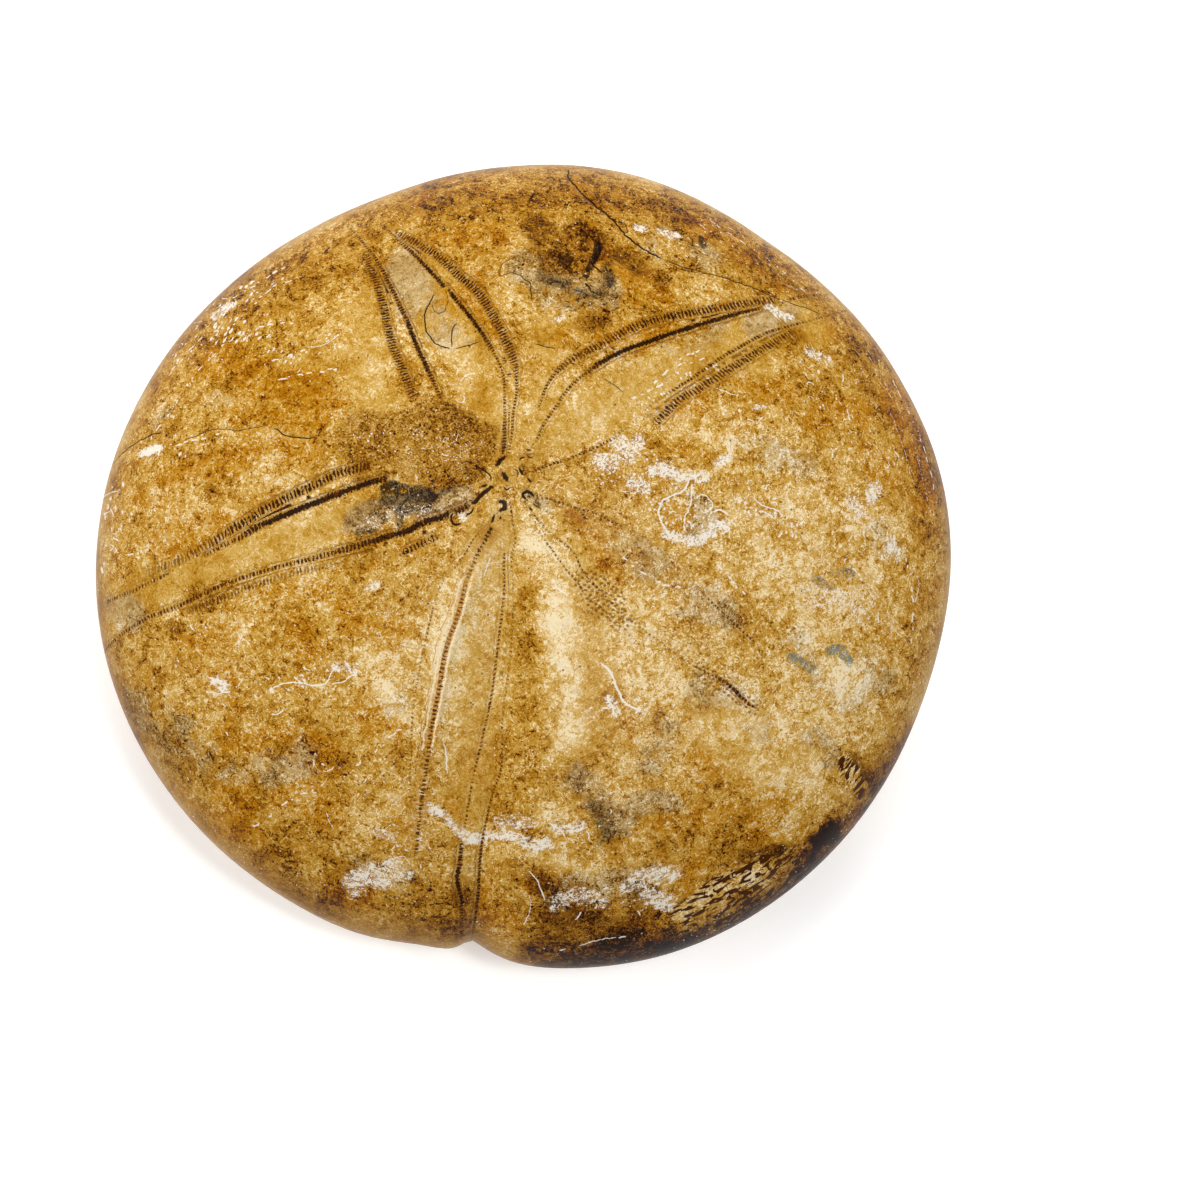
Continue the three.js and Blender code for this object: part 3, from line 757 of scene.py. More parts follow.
# Stains of the underside, in the same form as the marks above.
UNDERSIDE_MARKS = {
    "matrix": [
        (1.0, 2.2, [(-0.4, -6.2), (1.2, -6.2)]),
        (1.0, 1.5, [(0.2, 22.2), (2.4, 22.2)]),
        (0.6, 1.6, [(-8, -16), (-5.4, -20)]),
        (0.55, 1.3, [(16, 9), (19, 10.4)]),
    ],
    "amber": [
        (0.8, 3.2, [(-20, 5), (-13, 10)]),
        (0.75, 3.6, [(13, -19), (20, -12)]),
        (0.7, 3.0, [(8, 14), (16, 13)]),
        (0.8, 2.6, [(-17, -16), (-11, -22)]),
        (0.6, 2.4, [(26, 3), (30, -2)]),
    ],
    "grey": [
        (0.8, 3.0, [(18, 1), (25, -3)]),
        (0.7, 2.8, [(-27, -5), (-22, -11)]),
        (0.6, 2.4, [(-6, 12), (-3, 17)]),
    ],
    "brown": [
        (0.7, 1.5, [(-12, -2), (-9.6, -3.4)]),
        (0.6, 1.2, [(5, -26), (8, -27)]),
        (0.6, 1.1, [(24, 12), (26, 9.6)]),
    ],
    "chalk": [
        (0.85, 0.9, [(-9, 3), (-5.6, 5.4)]),
        (0.8, 0.8, [(12, -3.4), (15, -6)]),
        (0.75, 1.0, [(-20, -19), (-17.4, -20.6)]),
        (0.7, 0.8, [(3, 14), (5.4, 15)]),
    ],
    "flecks": [
        (0.6, 4.0, [(-20, -4), (-10, -14)]),
        (0.6, 4.0, [(8, 9), (20, 5)]),
        (0.5, 3.0, [(0, -18), (10, -22)]),
    ],
}

# One pore row of the underside's petals: (out from the mouth, aside, darkness) on its flat map.
UNDERSIDE_ROW = [
    (3.6, 0.75, 0.9), (5.5, 1.2, 0.8), (9, 1.35, 0.55), (16, 1.6, 0.4), (25, 1.9, 0.32), (34, 2.2, 0.2),
]
UNDERSIDE_ROW_HALF = 0.2
UNDERSIDE_PITCH = 0.45
LIP_RADIUS = 3.5
LIP_WIDTH = 0.9
LIP_HEIGHT = 0.42
FURROW_DEPTH = 0.16
FURROW_WIDTH = 1.5
VENT_MIDDLE = (1.3, 22.2)
VENT_HALF_LENGTHS = (2.5, 1.7)
VENT_DEPTH = 0.5

# Cracks: (half width, darkness, plan points).
CRACKS = [
    (0.11, 0.9, [(5.7, 28.9), (5.8, 27.4), (8.0, 24.8), (10.4, 22.0), (11.2, 21.2), (13.3, 20.0)]),
    (0.07, 0.6, [(13.3, 20.0), (16.8, 19.0), (20.6, 18), (23.1, 17.2), (27.5, 16.2)]),
    (0.06, 0.5, [(14.4, 19.2), (19.5, 18.6), (24.6, 16.9)]),
    (0.06, 0.5, [(10.1, 23.4), (10.4, 22.2)]),
    (0.09, 0.6, [(-33.0, 2.6), (-32.3, 3.3), (-30.8, 4.2), (-28.8, 4.7)]),
    (0.06, 0.5, [(-27, 3.8), (-24.6, 4.5), (-22.6, 4.4), (-20, 4.7)]),
    (0.07, 0.65, [(-19.8, 4.4), (-18.4, 3.7), (-16.4, 3.3)]),
    (0.08, 0.75, [(-6.4, 16.2), (-7.2, 14.6), (-7.2, 13.2), (-6.4, 11.8), (-4.9, 11.1)]),
    (0.07, 0.75, [(-4.9, 11.2), (-4.9, 12.1), (-4.8, 13.0), (-4.4, 13.6)]),
    (0.07, 0.6, [(-4.7, 11.1), (-3.8, 11.4), (-2.5, 11.8)]),
    (0.05, 0.5, [(-5.4, 16.6), (-5.1, 15.6), (-5.4, 14.6), (-6.3, 14.5), (-6.7, 15.4)]),
    (0.06, 0.6, [(-0.8, 17.8), (0.3, 18.0), (1.2, 17.5), (1.8, 17.0), (1.8, 15.4)]),
    (0.06, 0.5, [(-0.9, 18.0), (-0.5, 19.0), (0.3, 19.5)]),
    (0.07, 0.6, [(2.0, 11.6), (3.9, 11.4)]),
    (0.06, 0.5, [(-8, -0.6), (-9, -2.2), (-9.2, -3.6)]),
    (0.06, 0.5, [(7.6, 8.8), (8.6, 8.2), (9.6, 7.6)]),
    (0.26, 1.0, [(-1.3, 1.0), (-0.8, 1.6), (-0.4, 1.8)]),
    (0.13, 1.0, [(0.6, 0.9), (0.8, 0.5), (1.1, 0.2)]),
    (0.12, 0.9, [(1.1, 0.1), (1.4, -0.1), (1.8, -0.4)]),
    (0.12, 0.9, [(0.7, 1.4), (0.9, 1.7), (1.2, 1.8)]),
    (0.14, 1.0, [(1.2, 1.8), (1.2, 1.3)]),
    (0.15, 1.0, [(1.2, 2.5), (1.7, 2.3)]),
    (0.09, 0.8, [(1.7, 2.8), (2.0, 3.1)]),
    (0.27, 0.9, [(-0.8, 0.5), (-0.5, 0.0), (-0.2, -0.4)]),
    (0.08, 0.8, [(-0.7, -0.7), (-0.4, -1.0), (0.0, -0.7)]),
    (0.07, 0.7, [(0.0, -0.5), (0.2, -1.0)]),
    (0.22, 1.0, [(-3.4, -2.3), (-2.5, -1.5), (-1.9, -0.9), (-1.4, -0.6)]),
    (0.16, 0.8, [(-2.6, -0.9), (-2.0, -0.6)]),
    (0.24, 1.0, [(-1.1, -2.1), (-0.7, -2.0), (-0.6, -2.5), (-1.1, -2.8)]),
    (0.14, 1.0, [(-0.9, -3.0), (-1.0, -3.6)]),
    (0.14, 0.9, [(-1.3, -3.1), (-1.7, -3.9)]),
    (0.13, 1.0, [(1.2, -1.8), (0.9, -1.4), (1.3, -1.1), (1.7, -1.2), (2.0, -1.6)]),
    (0.08, 0.7, [(1.9, -1.8), (1.6, -2.0), (1.2, -1.8)]),
    (0.10, 0.9, [(1.9, -1.2), (2.4, -1.9)]),
    (0.15, 1.0, [(1.1, -1.9), (1.3, -2.3)]),
    (0.15, 1.0, [(1.5, -2.5), (1.8, -2.9)]),
    (0.08, 0.7, [(-2.9, 1.0), (-1.7, 0.0), (-2.1, -0.5)]),
    (0.09, 0.9, [(-2.5, -1.9), (-3.0, -2.6), (-3.4, -3.0), (-3.9, -3.4)]),
    (0.11, 1.0, [(-4.9, -3.0), (-5.0, -3.6), (-4.6, -4.0), (-4.1, -3.8)]),
    (0.07, 0.6, [(0.2, 0.9), (0.5, 0.4), (0.4, 0.0)]),
    (0.10, 0.9, [(7.9, 21.6), (7.9, 20.4), (7.3, 19.2), (7.9, 18.3)]),
    (0.07, 0.8, [(6.4, 17.4), (6.9, 16.6), (7.6, 16.4)]),
]

# White scratches and healed seams, and two streaks of painted glint on the front petal's raised row: (half
# width, strength, plan points).
SCRATCHES_AND_GLINTS = [
    (0.12, 1.0, [(7.5, -15.2), (8.3, -15.8), (8.8, -17), (9.6, -18.3), (11.2, -19.2)]),
    (0.09, 0.9, [(8.6, -16.6), (9.1, -17.6), (9.6, -18.6)]),
    (0.12, 0.9, [(8.1, -17.8), (8.6, -18.8), (8.9, -19.6)]),
    (0.07, 0.7, [(8.8, -18.4), (9.2, -19.2), (9.7, -19.6)]),
    (0.08, 0.9, [(-20, -17.7), (-18.6, -17), (-17, -17), (-15.4, -17.1), (-14.8, -16), (-14, -15.7)]),
    (0.07, 0.8, [(-15, -17.2), (-13.8, -17), (-13, -16.4), (-12.5, -16.3)]),
    (0.07, 0.8, [(-25.2, -17.5), (-24, -17.8), (-22.8, -17.6)]),
    (0.09, 0.8, [(3.4, -8.2), (3.9, -9), (4.7, -9.8)]),
    (0.10, 1.0, [
        (15.1, 0.7), (14.8, 0), (14.3, -0.6), (12.9, -1.3), (12.3, -2.4), (12.7, -3.5), (13.4, -4.4),
    ]),
    (0.08, 0.8, [(15.2, 0.3), (15.1, -1.4), (14.5, -3.6), (15, -4.4)]),
    (0.07, 0.8, [(15.6, -1.3), (16.2, -0.9), (16.8, -1.3), (16.9, -2), (16.3, -2.4), (15.8, -1.9)]),
    (0.10, 0.9, [(17, -2.4), (17.8, -2), (18.4, -2.6)]),
    # Painted glints on the front petal's raised row, drawn as white strokes.
    (0.10, 0.8, [(-1.6, -6.4), (-2.0, -7.6), (-2.2, -8.5)]),
    (0.12, 0.8, [(-5.4, -21.8), (-5.1, -23.2), (-5.0, -24.8)]),
    (0.08, 0.8, [(-24.8, -17.2), (-24, -16.6), (-23.4, -17.4), (-22.9, -18.2)]),
    (0.10, 0.9, [(16.8, -3.8), (17.8, -3.4), (18.6, -3.6), (17.6, -4.2)]),
    (0.08, 0.9, [(20.6, -0.8), (21.4, -1.5), (22.6, -1.8), (23.4, -2.4)]),
    (0.08, 0.8, [(20.9, -2), (21.8, -2.1), (22.7, -3)]),
    (0.07, 0.7, [(16.6, 8.6), (18, 8.1), (19.6, 8)]),
    (0.08, 0.8, [(2, -32.1), (2.8, -32.8), (3.6, -34.6)]),
    (0.09, 0.9, [(3.4, -28.3), (4.4, -28.9), (5.2, -29.7)]),
    (0.08, 0.9, [(4.6, -29), (5.8, -28.9), (6.8, -28.6)]),
    (0.07, 0.8, [(6.6, -38.2), (8.4, -37.6), (10, -37.4)]),
    (0.06, 0.7, [(-8.8, -25.2), (-8.5, -24.6), (-7.9, -24.5), (-7.4, -24.9)]),
    (0.06, 0.7, [(-14.9, -27.3), (-14.7, -28.3), (-14.1, -29)]),
    (0.07, 0.8, [(-17, 11.4), (-15.4, 11.8), (-14.2, 12.6)]),
    (0.06, 0.7, [(-9.6, -31.4), (-8.4, -31.2), (-7.6, -32)]),
    (0.06, 0.6, [(-10.4, -29.4), (-9.4, -28.6), (-8.6, -28.9)]),
    (0.06, 0.7, [(1.8, -36.6), (2.3, -35.2), (2.2, -34)]),
    (0.06, 0.6, [(5.2, -33.8), (6.2, -34.6), (7, -33.8)]),
    (0.05, 0.5, [(35.2, 6), (36.2, 2.5), (37, -1)]),
    (0.05, 0.5, [(31.6, 13), (33.6, 9.8), (34.8, 7)]),
    (0.05, 0.5, [(33, 8.6), (34.4, 5), (35.2, 1.5)]),
    (0.05, 0.6, [(35.2, -5.6), (35.6, -7.2), (35.2, -9)]),
    (0.07, 0.9, [(-4.4, 8.2), (-3.6, 8.9), (-2.8, 9)]),
    (0.06, 0.8, [(9, -0.7), (10, -1), (11, -0.8)]),
    (0.07, 0.7, [(22.8, 15.8), (23.8, 15), (24.6, 14.8)]),
]

# Dashed white lines, traces of the shell's plates: (half width, strength, plan points).
DASHES = [
    (0.11, 1.0, [(-29.6, 4.6), (-28.2, 6.4), (-26.6, 8.6), (-24.8, 11.2), (-22.8, 13)]),
    (0.10, 1.0, [(-28, 10.6), (-25.6, 13), (-22.8, 14.2)]),
    (0.12, 1.0, [(-22.6, 13.2), (-20.4, 13.6), (-17.6, 13.8)]),
    (0.10, 1.0, [(-19.6, 10.4), (-17.6, 11.1), (-16.4, 11.6), (-13.6, 12.8)]),
    (0.10, 1.0, [(-19, 8.8), (-16.6, 9.2), (-14.6, 9.4)]),
    (0.12, 1.0, [(-23.6, 16.4), (-21.4, 17.8), (-18.8, 19.2)]),
    (0.10, 1.0, [(-22, 15.4), (-19.8, 17.2), (-17.4, 18.2)]),
    (0.10, 1.0, [(-28.6, 3.4), (-26.4, 3.6), (-24.4, 4)]),
    (0.12, 1.0, [(12.4, 8.8), (14.4, 10.4), (17.2, 11)]),
    (0.12, 1.0, [(10.4, 7.2), (12.8, 8.4)]),
    (0.09, 1.0, [(5.4, -38.4), (8.4, -37.6), (11, -37.2)]),
    (0.09, 0.9, [(13, 9.6), (15, 11.4), (16.6, 12)]),
    (0.09, 0.9, [(18.4, 24), (22.4, 21.4), (26, 18.4)]),
    (0.10, 0.9, [(34, 11), (36, 6.6), (37.4, 1.6)]),
    (0.09, 0.9, [(-20.6, -28.4), (-17.6, -26.4), (-15.2, -25.4)]),
    (0.09, 0.9, [(-11, -22.6), (-8.6, -20.6)]),
    (0.10, 0.9, [(29.6, -6.4), (31.6, -9), (32.4, -12.6)]),
    (0.10, 0.9, [(34.4, -5), (35.2, -9), (34.8, -13)]),
    (0.09, 0.9, [(9.6, -6.6), (12.4, -8.4), (14.4, -8.8)]),
    (0.09, 0.9, [(17.6, -7), (20, -9.4)]),
]

# Least and greatest run of steps, the last not reached, of a dash and of the gap after it.
DASH_ON = (1, 5)
DASH_OFF = (2, 7)
THREADS_PER_AREA = 0.42


# ---------------------------------------------------------------------------------------------
# Laying out the points of both sides on their flat maps.
# ---------------------------------------------------------------------------------------------
def curve_through(points, step):
    """Evenly spaced points on a Catmull-Rom curve through guide points of any number of columns."""
    guide = np.array(points, float)
    ends = np.vstack([2 * guide[0] - guide[1], guide, 2 * guide[-1] - guide[-2]])
    pieces = []
    for start in range(len(guide) - 1):
        p0, p1, p2, p3 = ends[start:start + 4]
        t = np.linspace(0, 1, 24, endpoint=False)[:, None]
        pieces.append(0.5 * (2 * p1 + (p2 - p0) * t + (2 * p0 - 5 * p1 + 4 * p2 - p3) * t**2
                             + (3 * p1 - p0 - 3 * p2 + p3) * t**3))
    dense = np.vstack(pieces + [guide[-1:]])
    along = np.concatenate([[0], np.cumsum(np.hypot(*np.diff(dense[:, :2], axis=0).T))])
    places = np.arange(0, along[-1], step)
    return np.column_stack([np.interp(places, along, column) for column in dense.T])


def petal_to_plan(bearing, guide):
    angle = math.radians(bearing)
    out = np.array([math.cos(angle), math.sin(angle)])
    aside = np.array([-out[1], out[0]])
    rows = [list(along * out + side * aside) + [dark] for along, side, dark in guide]
    return np.array(rows)


def distance_to(spine, x, y):
    """Distance from plan points to a line of points, and on which side: positive is to its left."""
    distance = np.full(len(x), 1e9)
    side = np.zeros(len(x))
    for (ax, ay), (bx, by) in zip(spine[:-1], spine[1:]):
        dx, dy = bx - ax, by - ay
        t = np.clip(((x - ax) * dx + (y - ay) * dy) / (dx * dx + dy * dy), 0, 1)
        here = np.hypot(x - ax - t * dx, y - ay - t * dy)
        nearer = here < distance
        distance = np.where(nearer, here, distance)
        side = np.where(nearer, np.sign(dx * (y - ay) - dy * (x - ax)), side)
    return distance, side


class Noise:
    """Smooth random values over space, about -1 to 1."""

    CELLS = 32

    def __init__(self, rng):
        self.grid = rng.uniform(-1, 1, (self.CELLS,) * 3)

    def at(self, points, size):
        place = points / size
        low = np.floor(place).astype(int)
        t = place - low
        t = t * t * (3 - 2 * t)
        total = np.zeros(len(points))
        for corner in np.ndindex(2, 2, 2):
            cell = (low + corner) % self.CELLS
            weight = np.abs(1 - np.array(corner) - t).prod(1)
            total += self.grid[cell[:, 0], cell[:, 1], cell[:, 2]] * weight
        return total


def fraying(points, noise):
    """Small random moves in plan, which give the marks ragged outlines."""
    return np.column_stack([
        noise.at(points, 3.1) + 0.5 * noise.at(points + 50, 1.2),
        noise.at(points + 90, 3.1) + 0.5 * noise.at(points + 130, 1.2),
    ])


class Layout:
    """Points of one side's map, with what each carries for the material, and the rows laid so far."""

    def __init__(self):
        self.points = np.zeros((0, 2))
        names = ("pore_run", "pore_across", "pore_dark", "pore_duty", "pore_glint", "crack", "scratch")
        self.values = {name: np.zeros(0) for name in names}
        self.sections = np.zeros((0, 3))

    def add(self, points, **values):
        self.points = np.vstack([self.points, points])
        for name, have in self.values.items():
            new = values.get(name, 2.0 if name == "pore_across" else 0.0)
            self.values[name] = np.concatenate([have, np.broadcast_to(new, len(points))])

    def keep(self, wanted):
        self.points = self.points[wanted]
        self.values = {name: value[wanted] for name, value in self.values.items()}

    def add_sections(self, line, halves):
        self.sections = np.vstack([self.sections, np.column_stack([line, halves])])

    def clear_of_sections(self, points, gap):
        """True where a point keeps its distance from every row and crack laid so far."""
        keep = np.ones(len(points), bool)
        if not len(self.sections):
            return keep
        order = np.argsort(points[:, 1])
        for start in range(0, len(points), STRIP_COUNT):
            index = order[start:start + STRIP_COUNT]
            part = points[index]
            low, high = part[:, 1].min() - STRIP_MARGIN, part[:, 1].max() + STRIP_MARGIN
            near = self.sections[(self.sections[:, 1] > low) & (self.sections[:, 1] < high)]
            apart = np.hypot(part[:, None, 0] - near[None, :, 0], part[:, None, 1] - near[None, :, 1])
            keep[index] = (apart > near[None, :, 2] + gap).all(1)
        return keep


def across_offsets(half):
    """Where the points of a row lie across it, in half widths, with an edge outside it."""
    inner = [0.0] if half < NARROW_ROW else [-0.92, -0.5, 0.0, 0.5, 0.92]
    edge = (half + ROW_EDGE) / half
    return np.array([-edge] + inner + [edge])


def sideways(line):
    """Unit vectors across a line on the map."""
    tangent = np.gradient(line[:, :2], axis=0)
    tangent /= np.linalg.norm(tangent, axis=1)[:, None]
    return np.column_stack([-tangent[:, 1], tangent[:, 0]])


def dome_row(bearing, guide):
    """Guide points of a dome's row on its map, each with its darkness and its way out."""
    plan = petal_to_plan(bearing, guide)
    return np.column_stack([plan_to_map(plan[:, 0], plan[:, 1]), plan[:, 2], [point[0] for point in guide]])


def underside_row(bearing, side):
    guide = [(out, side * aside, dark) for out, aside, dark in UNDERSIDE_ROW]
    return np.column_stack([petal_to_plan(bearing, guide), [point[0] for point in guide]])


def row_halves(kind, half, dark, way_out):
    """Half the width along a row: a comb starts narrow near the apex, a line is thin where pale."""
    if kind == "ridge":
        return np.full(len(dark), half)
    if kind == "line":
        return half * (0.62 + 0.38 * smoothstep(0.45, 0.8, dark))
    widening = smoothstep(6.5, 9.5, way_out) if half > NARROW_ROW else 1
    return COMB_START_HALF + (half - COMB_START_HALF) * np.broadcast_to(widening, len(dark))


def row_duty(kind, dark):
    """Share of the pitch that each pore's half length takes."""
    if kind == "comb":
        return np.full(len(dark), COMB_DUTY)
    return LINE_DUTY + DARK_LINE_EXTRA * smoothstep(0.5, 0.8, dark)


def row_glint(kind, way_out):
    """Strength of the painted glint along the raised row of the front petal, which also tells that row from
    all others.
    """
    if kind != "ridge":
        return np.zeros(len(way_out))
    return LEAST_GLINT + (1 - LEAST_GLINT) * smoothstep(6.5, 10.5, way_out) * smoothstep(25, 21, way_out)


def lay_pore_row(layout, kind, half, row, pitch):
    line = curve_through(row, pitch / STEPS_PER_PORE)
    kept = layout.clear_of_sections(line[:, :2], ROW_GAP)
    across = sideways(line)[kept]
    run = (np.arange(len(line)) / STEPS_PER_PORE)[kept]
    line = line[kept]
    dark = np.clip(line[:, 2], 0, 1)
    halves = row_halves(kind, half, dark, line[:, 3])
    for offset in across_offsets(half):
        width = halves + ROW_EDGE if abs(offset) > 1 else halves * abs(offset)
        shift = np.sign(offset) * width
        layout.add(
            line[:, :2] + across * shift[:, None],
            pore_run=run,
            pore_across=shift / halves,
            pore_dark=dark,
            pore_duty=row_duty(kind, dark),
            pore_glint=row_glint(kind, line[:, 3]),
        )
    layout.add_sections(line[:, :2], halves + ROW_EDGE)


def dash_pattern(count, rng):
    """Ones and zeros in runs of a few steps each."""
    pattern = []
    while len(pattern) < count:
        pattern += [1.0] * rng.integers(*DASH_ON) + [0.0] * rng.integers(*DASH_OFF)
    return np.array(pattern[:count])


def random_threads(rng):
    """Short curly white threads where the flecks gather: (half width, strength, plan points)."""
    threads = []
    for strength, radius, spine in MARKS["flecks"]:
        line = curve_through(spine, FLECK_STEP)
        area = 2 * radius * (FLECK_STEP * len(line) + 1.5 * radius)
        for _ in range(int(THREADS_PER_AREA * strength * area)):
            start = line[rng.integers(len(line))] + rng.normal(0, 0.65 * radius, 2)
            heading = math.atan2(start[1], start[0]) + math.pi / 2 + rng.normal(0, 0.9)
            turn = rng.normal(0, 1.1)
            points = [start]
            for _ in range(rng.integers(2, 5)):
                step = rng.uniform(*THREAD_STEPS)
                points.append(points[-1] + step * np.array([math.cos(heading), math.sin(heading)]))
                heading += turn * 0.6
            threads.append((rng.uniform(0.05, 0.11), rng.uniform(0.55, 1.0), points))
    return threads


def lay_stroke(layout, name, half, strength, plan, rng, dashed=False):
    """A thin line of its own points, for a crack, a scratch or a streak of painted glint."""
    guide = np.array(plan)
    line = curve_through(plan_to_map(guide[:, 0], guide[:, 1]), STROKE_STEP)
    wander = np.cumsum(rng.normal(0, STROKE_WANDER, (len(line), 2)), axis=0)
    line = line + wander - np.linspace(0, 1, len(line))[:, None] * wander[-1]
    line = line[layout.clear_of_sections(line, STROKE_GAP)]
    if len(line) < 3:
        return
    across = sideways(line)
    steps = np.arange(len(line))
    shade = np.minimum(1, np.minimum(steps, steps[::-1]) / 3 + 0.3)
    if dashed:
        shade = dash_pattern(len(line), rng)
        scatter = rng.normal(0, 1, (len(line) // 3 + 1, 2))
        line = line + DASH_SCATTER * np.repeat(scatter, 3, axis=0)[:len(line)]
    for offset in (-1, 0, 1):
        points = line + across * offset * (half + STROKE_EDGE)
        layout.add(points, **{name: 0.0 if offset else strength * shade})
    layout.add_sections(line, np.full(len(line), half + STROKE_GAP))


def mark_strength(kind_marks, x, y, fray=0.0):
    """How strongly a kind of mark shows at plan points: the strongest of its marks counts."""
    strongest = np.zeros(len(x))
    for strength, radius, spine in kind_marks:
        move = np.zeros((1, 2)) + fray * min(1.0, 0.5 * radius)
        distance, _ = distance_to(spine, x + move[:, 0], y + move[:, 1])
        strongest = np.maximum(strongest, strength * (1 - smoothstep(0.4, 1.5, distance / radius)))
    return strongest


# Sum of the listed lightness changes: the stone's own tone, with painted highlight and shade down the front
# petal.
def tone_and_painted_light(x, y):
    total = np.zeros(len(x))
    for amount, radius, spine in TONES_AND_PAINTED_LIGHT:
        distance, _ = distance_to(spine, x, y)
        total += amount * (1 - smoothstep(0.3, 1.7, distance / radius))
    return total


def needs_fine_points(plan):
    """True where the markings are too small for the coarse grid."""
    x, y = plan[:, 0], plan[:, 1]
    fine = np.hypot(x, y) < APEX_FINE_RADIUS
    for marks in MARKS.values():
        for _, radius, spine in marks:
            if radius < SMALL_MARK:
                fine |= distance_to(spine, x, y)[0] < radius * 1.5 + 0.2
    for name in ("matrix", "pit", "net", "dots"):
        fine |= mark_strength(MARKS[name], x, y) > 0.2
    return fine


def hexagonal_grid(spacing, rng):
    """Points on a hexagonal grid over the map, each moved a little at random."""
    rows = np.arange(-MAP_RADIUS, MAP_RADIUS, spacing * math.sqrt(3) / 2)
    points = []
    for number, y in enumerate(rows):
        x = np.arange(-MAP_RADIUS, MAP_RADIUS, spacing) + (number % 2) * spacing / 2
        points.append(np.column_stack([x, np.full(len(x), y)]))
    grid = np.vstack(points)
    grid += rng.uniform(-GRID_JITTER, GRID_JITTER, grid.shape) * spacing
    return grid[np.hypot(grid[:, 0], grid[:, 1]) < MAP_RADIUS - 0.6 * spacing]


def ring_of_points():
    """The shared edge ring, crowded at the notch as the CAD's columns are."""
    turn = np.linspace(-np.pi, np.pi, RING_POINTS, endpoint=False)
    bearing = np.radians(NOTCH_BEARING) + turn - 0.6 * np.sin(turn)
    return MAP_RADIUS * np.column_stack([np.cos(bearing), np.sin(bearing)])


def triangulate(points):
    vectors = [Vector(point) for point in points]
    _, _, faces, sources, _, _ = delaunay_2d_cdt(vectors, [], [], 0, 1e-7)
    if len(sources) != len(points):
        raise RuntimeError("the map has points that coincide")
    return np.array(faces)


def lay_out_dome(rng):
    layout = Layout()
    for half, darkness, plan in CRACKS:
        lay_stroke(layout, "crack", half, darkness, plan, rng)
    for bearing, rows in PETALS.values():
        for kind, half, guide in rows:
            lay_pore_row(layout, kind, half, dome_row(bearing, guide), PORE_PITCH)
    for half, strength, plan in SCRATCHES_AND_GLINTS:
        lay_stroke(layout, "scratch", half, strength, plan, rng)
    for half, strength, plan in DASHES:
        lay_stroke(layout, "scratch", half, strength, plan, rng, dashed=True)
    for half, strength, plan in random_threads(rng):
        lay_stroke(layout, "scratch", half, strength, plan, rng)
    for spacing, wanted in ((FINE_SPACING, True), (TOP_SPACING, False)):
        grid = hexagonal_grid(spacing, rng)
        grid = grid[needs_fine_points(dome_points(grid)) == wanted]
        layout.add(grid[layout.clear_of_sections(grid, 0.35 * spacing)])
    inside = np.hypot(layout.points[:, 0], layout.points[:, 1]) < MAP_RADIUS - DOME_RING_GAP
    layout.keep(inside)
    layout.add(ring_of_points())
    return layout


def drop_doubles(layout):
    """Keeps one of any points of the map that nearly coincide, and all of the edge ring."""
    cell = np.floor(layout.points / LEAST_GAP).astype(np.int64)
    seen = {}
    keep = np.ones(len(cell), bool)
    ring_start = len(cell) - RING_POINTS
    order = list(range(ring_start, len(cell))) + list(range(ring_start))
    for index in order:
        cx, cy = int(cell[index, 0]), int(cell[index, 1])
        for key in ((cx + dx, cy + dy) for dx in (-1, 0, 1) for dy in (-1, 0, 1)):
            other = seen.get(key)
            if other is not None and math.dist(layout.points[index], layout.points[other]) < LEAST_GAP:
                keep[index] = index >= ring_start
                break
        if keep[index]:
            seen[(cx, cy)] = index
    layout.keep(keep)


def corner_normals(points, faces):
    a, b, c = (points[faces[:, corner]] for corner in range(3))
    face_normals = np.cross(b - a, c - a)
    normals = np.zeros_like(points)
    for corner in range(3):
        np.add.at(normals, faces[:, corner], face_normals)
    return normals / np.linalg.norm(normals, axis=1)[:, None]


# ---------------------------------------------------------------------------------------------
# Relief and mesh.
# ---------------------------------------------------------------------------------------------
# Lengths in millimetres. The crest, the crease and the ridge run down the front petal.
BULGE_CREST = [(2.6, -3.5), (3.0, -9), (3.2, -15), (3.4, -22), (3.4, -25)]
BULGE_HEIGHT = 0.10
BULGE_LEFT_WIDTH = 2.2
BULGE_RIGHT_WIDTH = 4.0
TROUGH_CREASE = [(-0.2, -4), (-0.7, -10), (-1.1, -16), (-2, -24), (-2.6, -30)]
CREASE_DEPTH = 0.22
CREASE_WIDTH = 2.6
PORE_RIDGE = [(-1.6, -5.2), (-3.1, -9), (-4.5, -12.3), (-5.4, -16), (-5.9, -19.5), (-5.6, -24)]
RIDGE_HEIGHT = 0.17
RIDGE_WIDTH = 0.42
PORE_DEPTH = 0.10
RIDGE_GROOVE_DEPTH = 0.10
RIDGE_LIP_HEIGHT = 0.05
CRACK_DEPTH = 0.12
SCRATCH_AND_GLINT_HEIGHT = 0.02
CHALK_DEPTH = 0.03
# Depth of each rough stain, and how much its roughness adds.
ROUGH_STAINS = {"matrix": (0.04, 0.05), "pit": (0.30, 0.16), "net": (0.0, 0.05)}
UNDERSIDE_PORE_DEPTH = 0.06
UNDERSIDE_WAVES = 0.04


def pore_relief(values):
    """Depth of the pores' slits, and of the groove between the lips of the raised row."""
    phase = (values["pore_run"] % 1 - 0.5) / np.maximum(values["pore_duty"], 0.1)
    across = np.abs(values["pore_across"])
    slit = (1 - smoothstep(0.4, 1.3, np.abs(phase))) * (1 - smoothstep(0.7, 1.15, across))
    groove = RIDGE_GROOVE_DEPTH * np.exp(-((across / 0.3) ** 2)) - RIDGE_LIP_HEIGHT
    return PORE_DEPTH * values["pore_dark"] * slit + values["pore_glint"] * groove


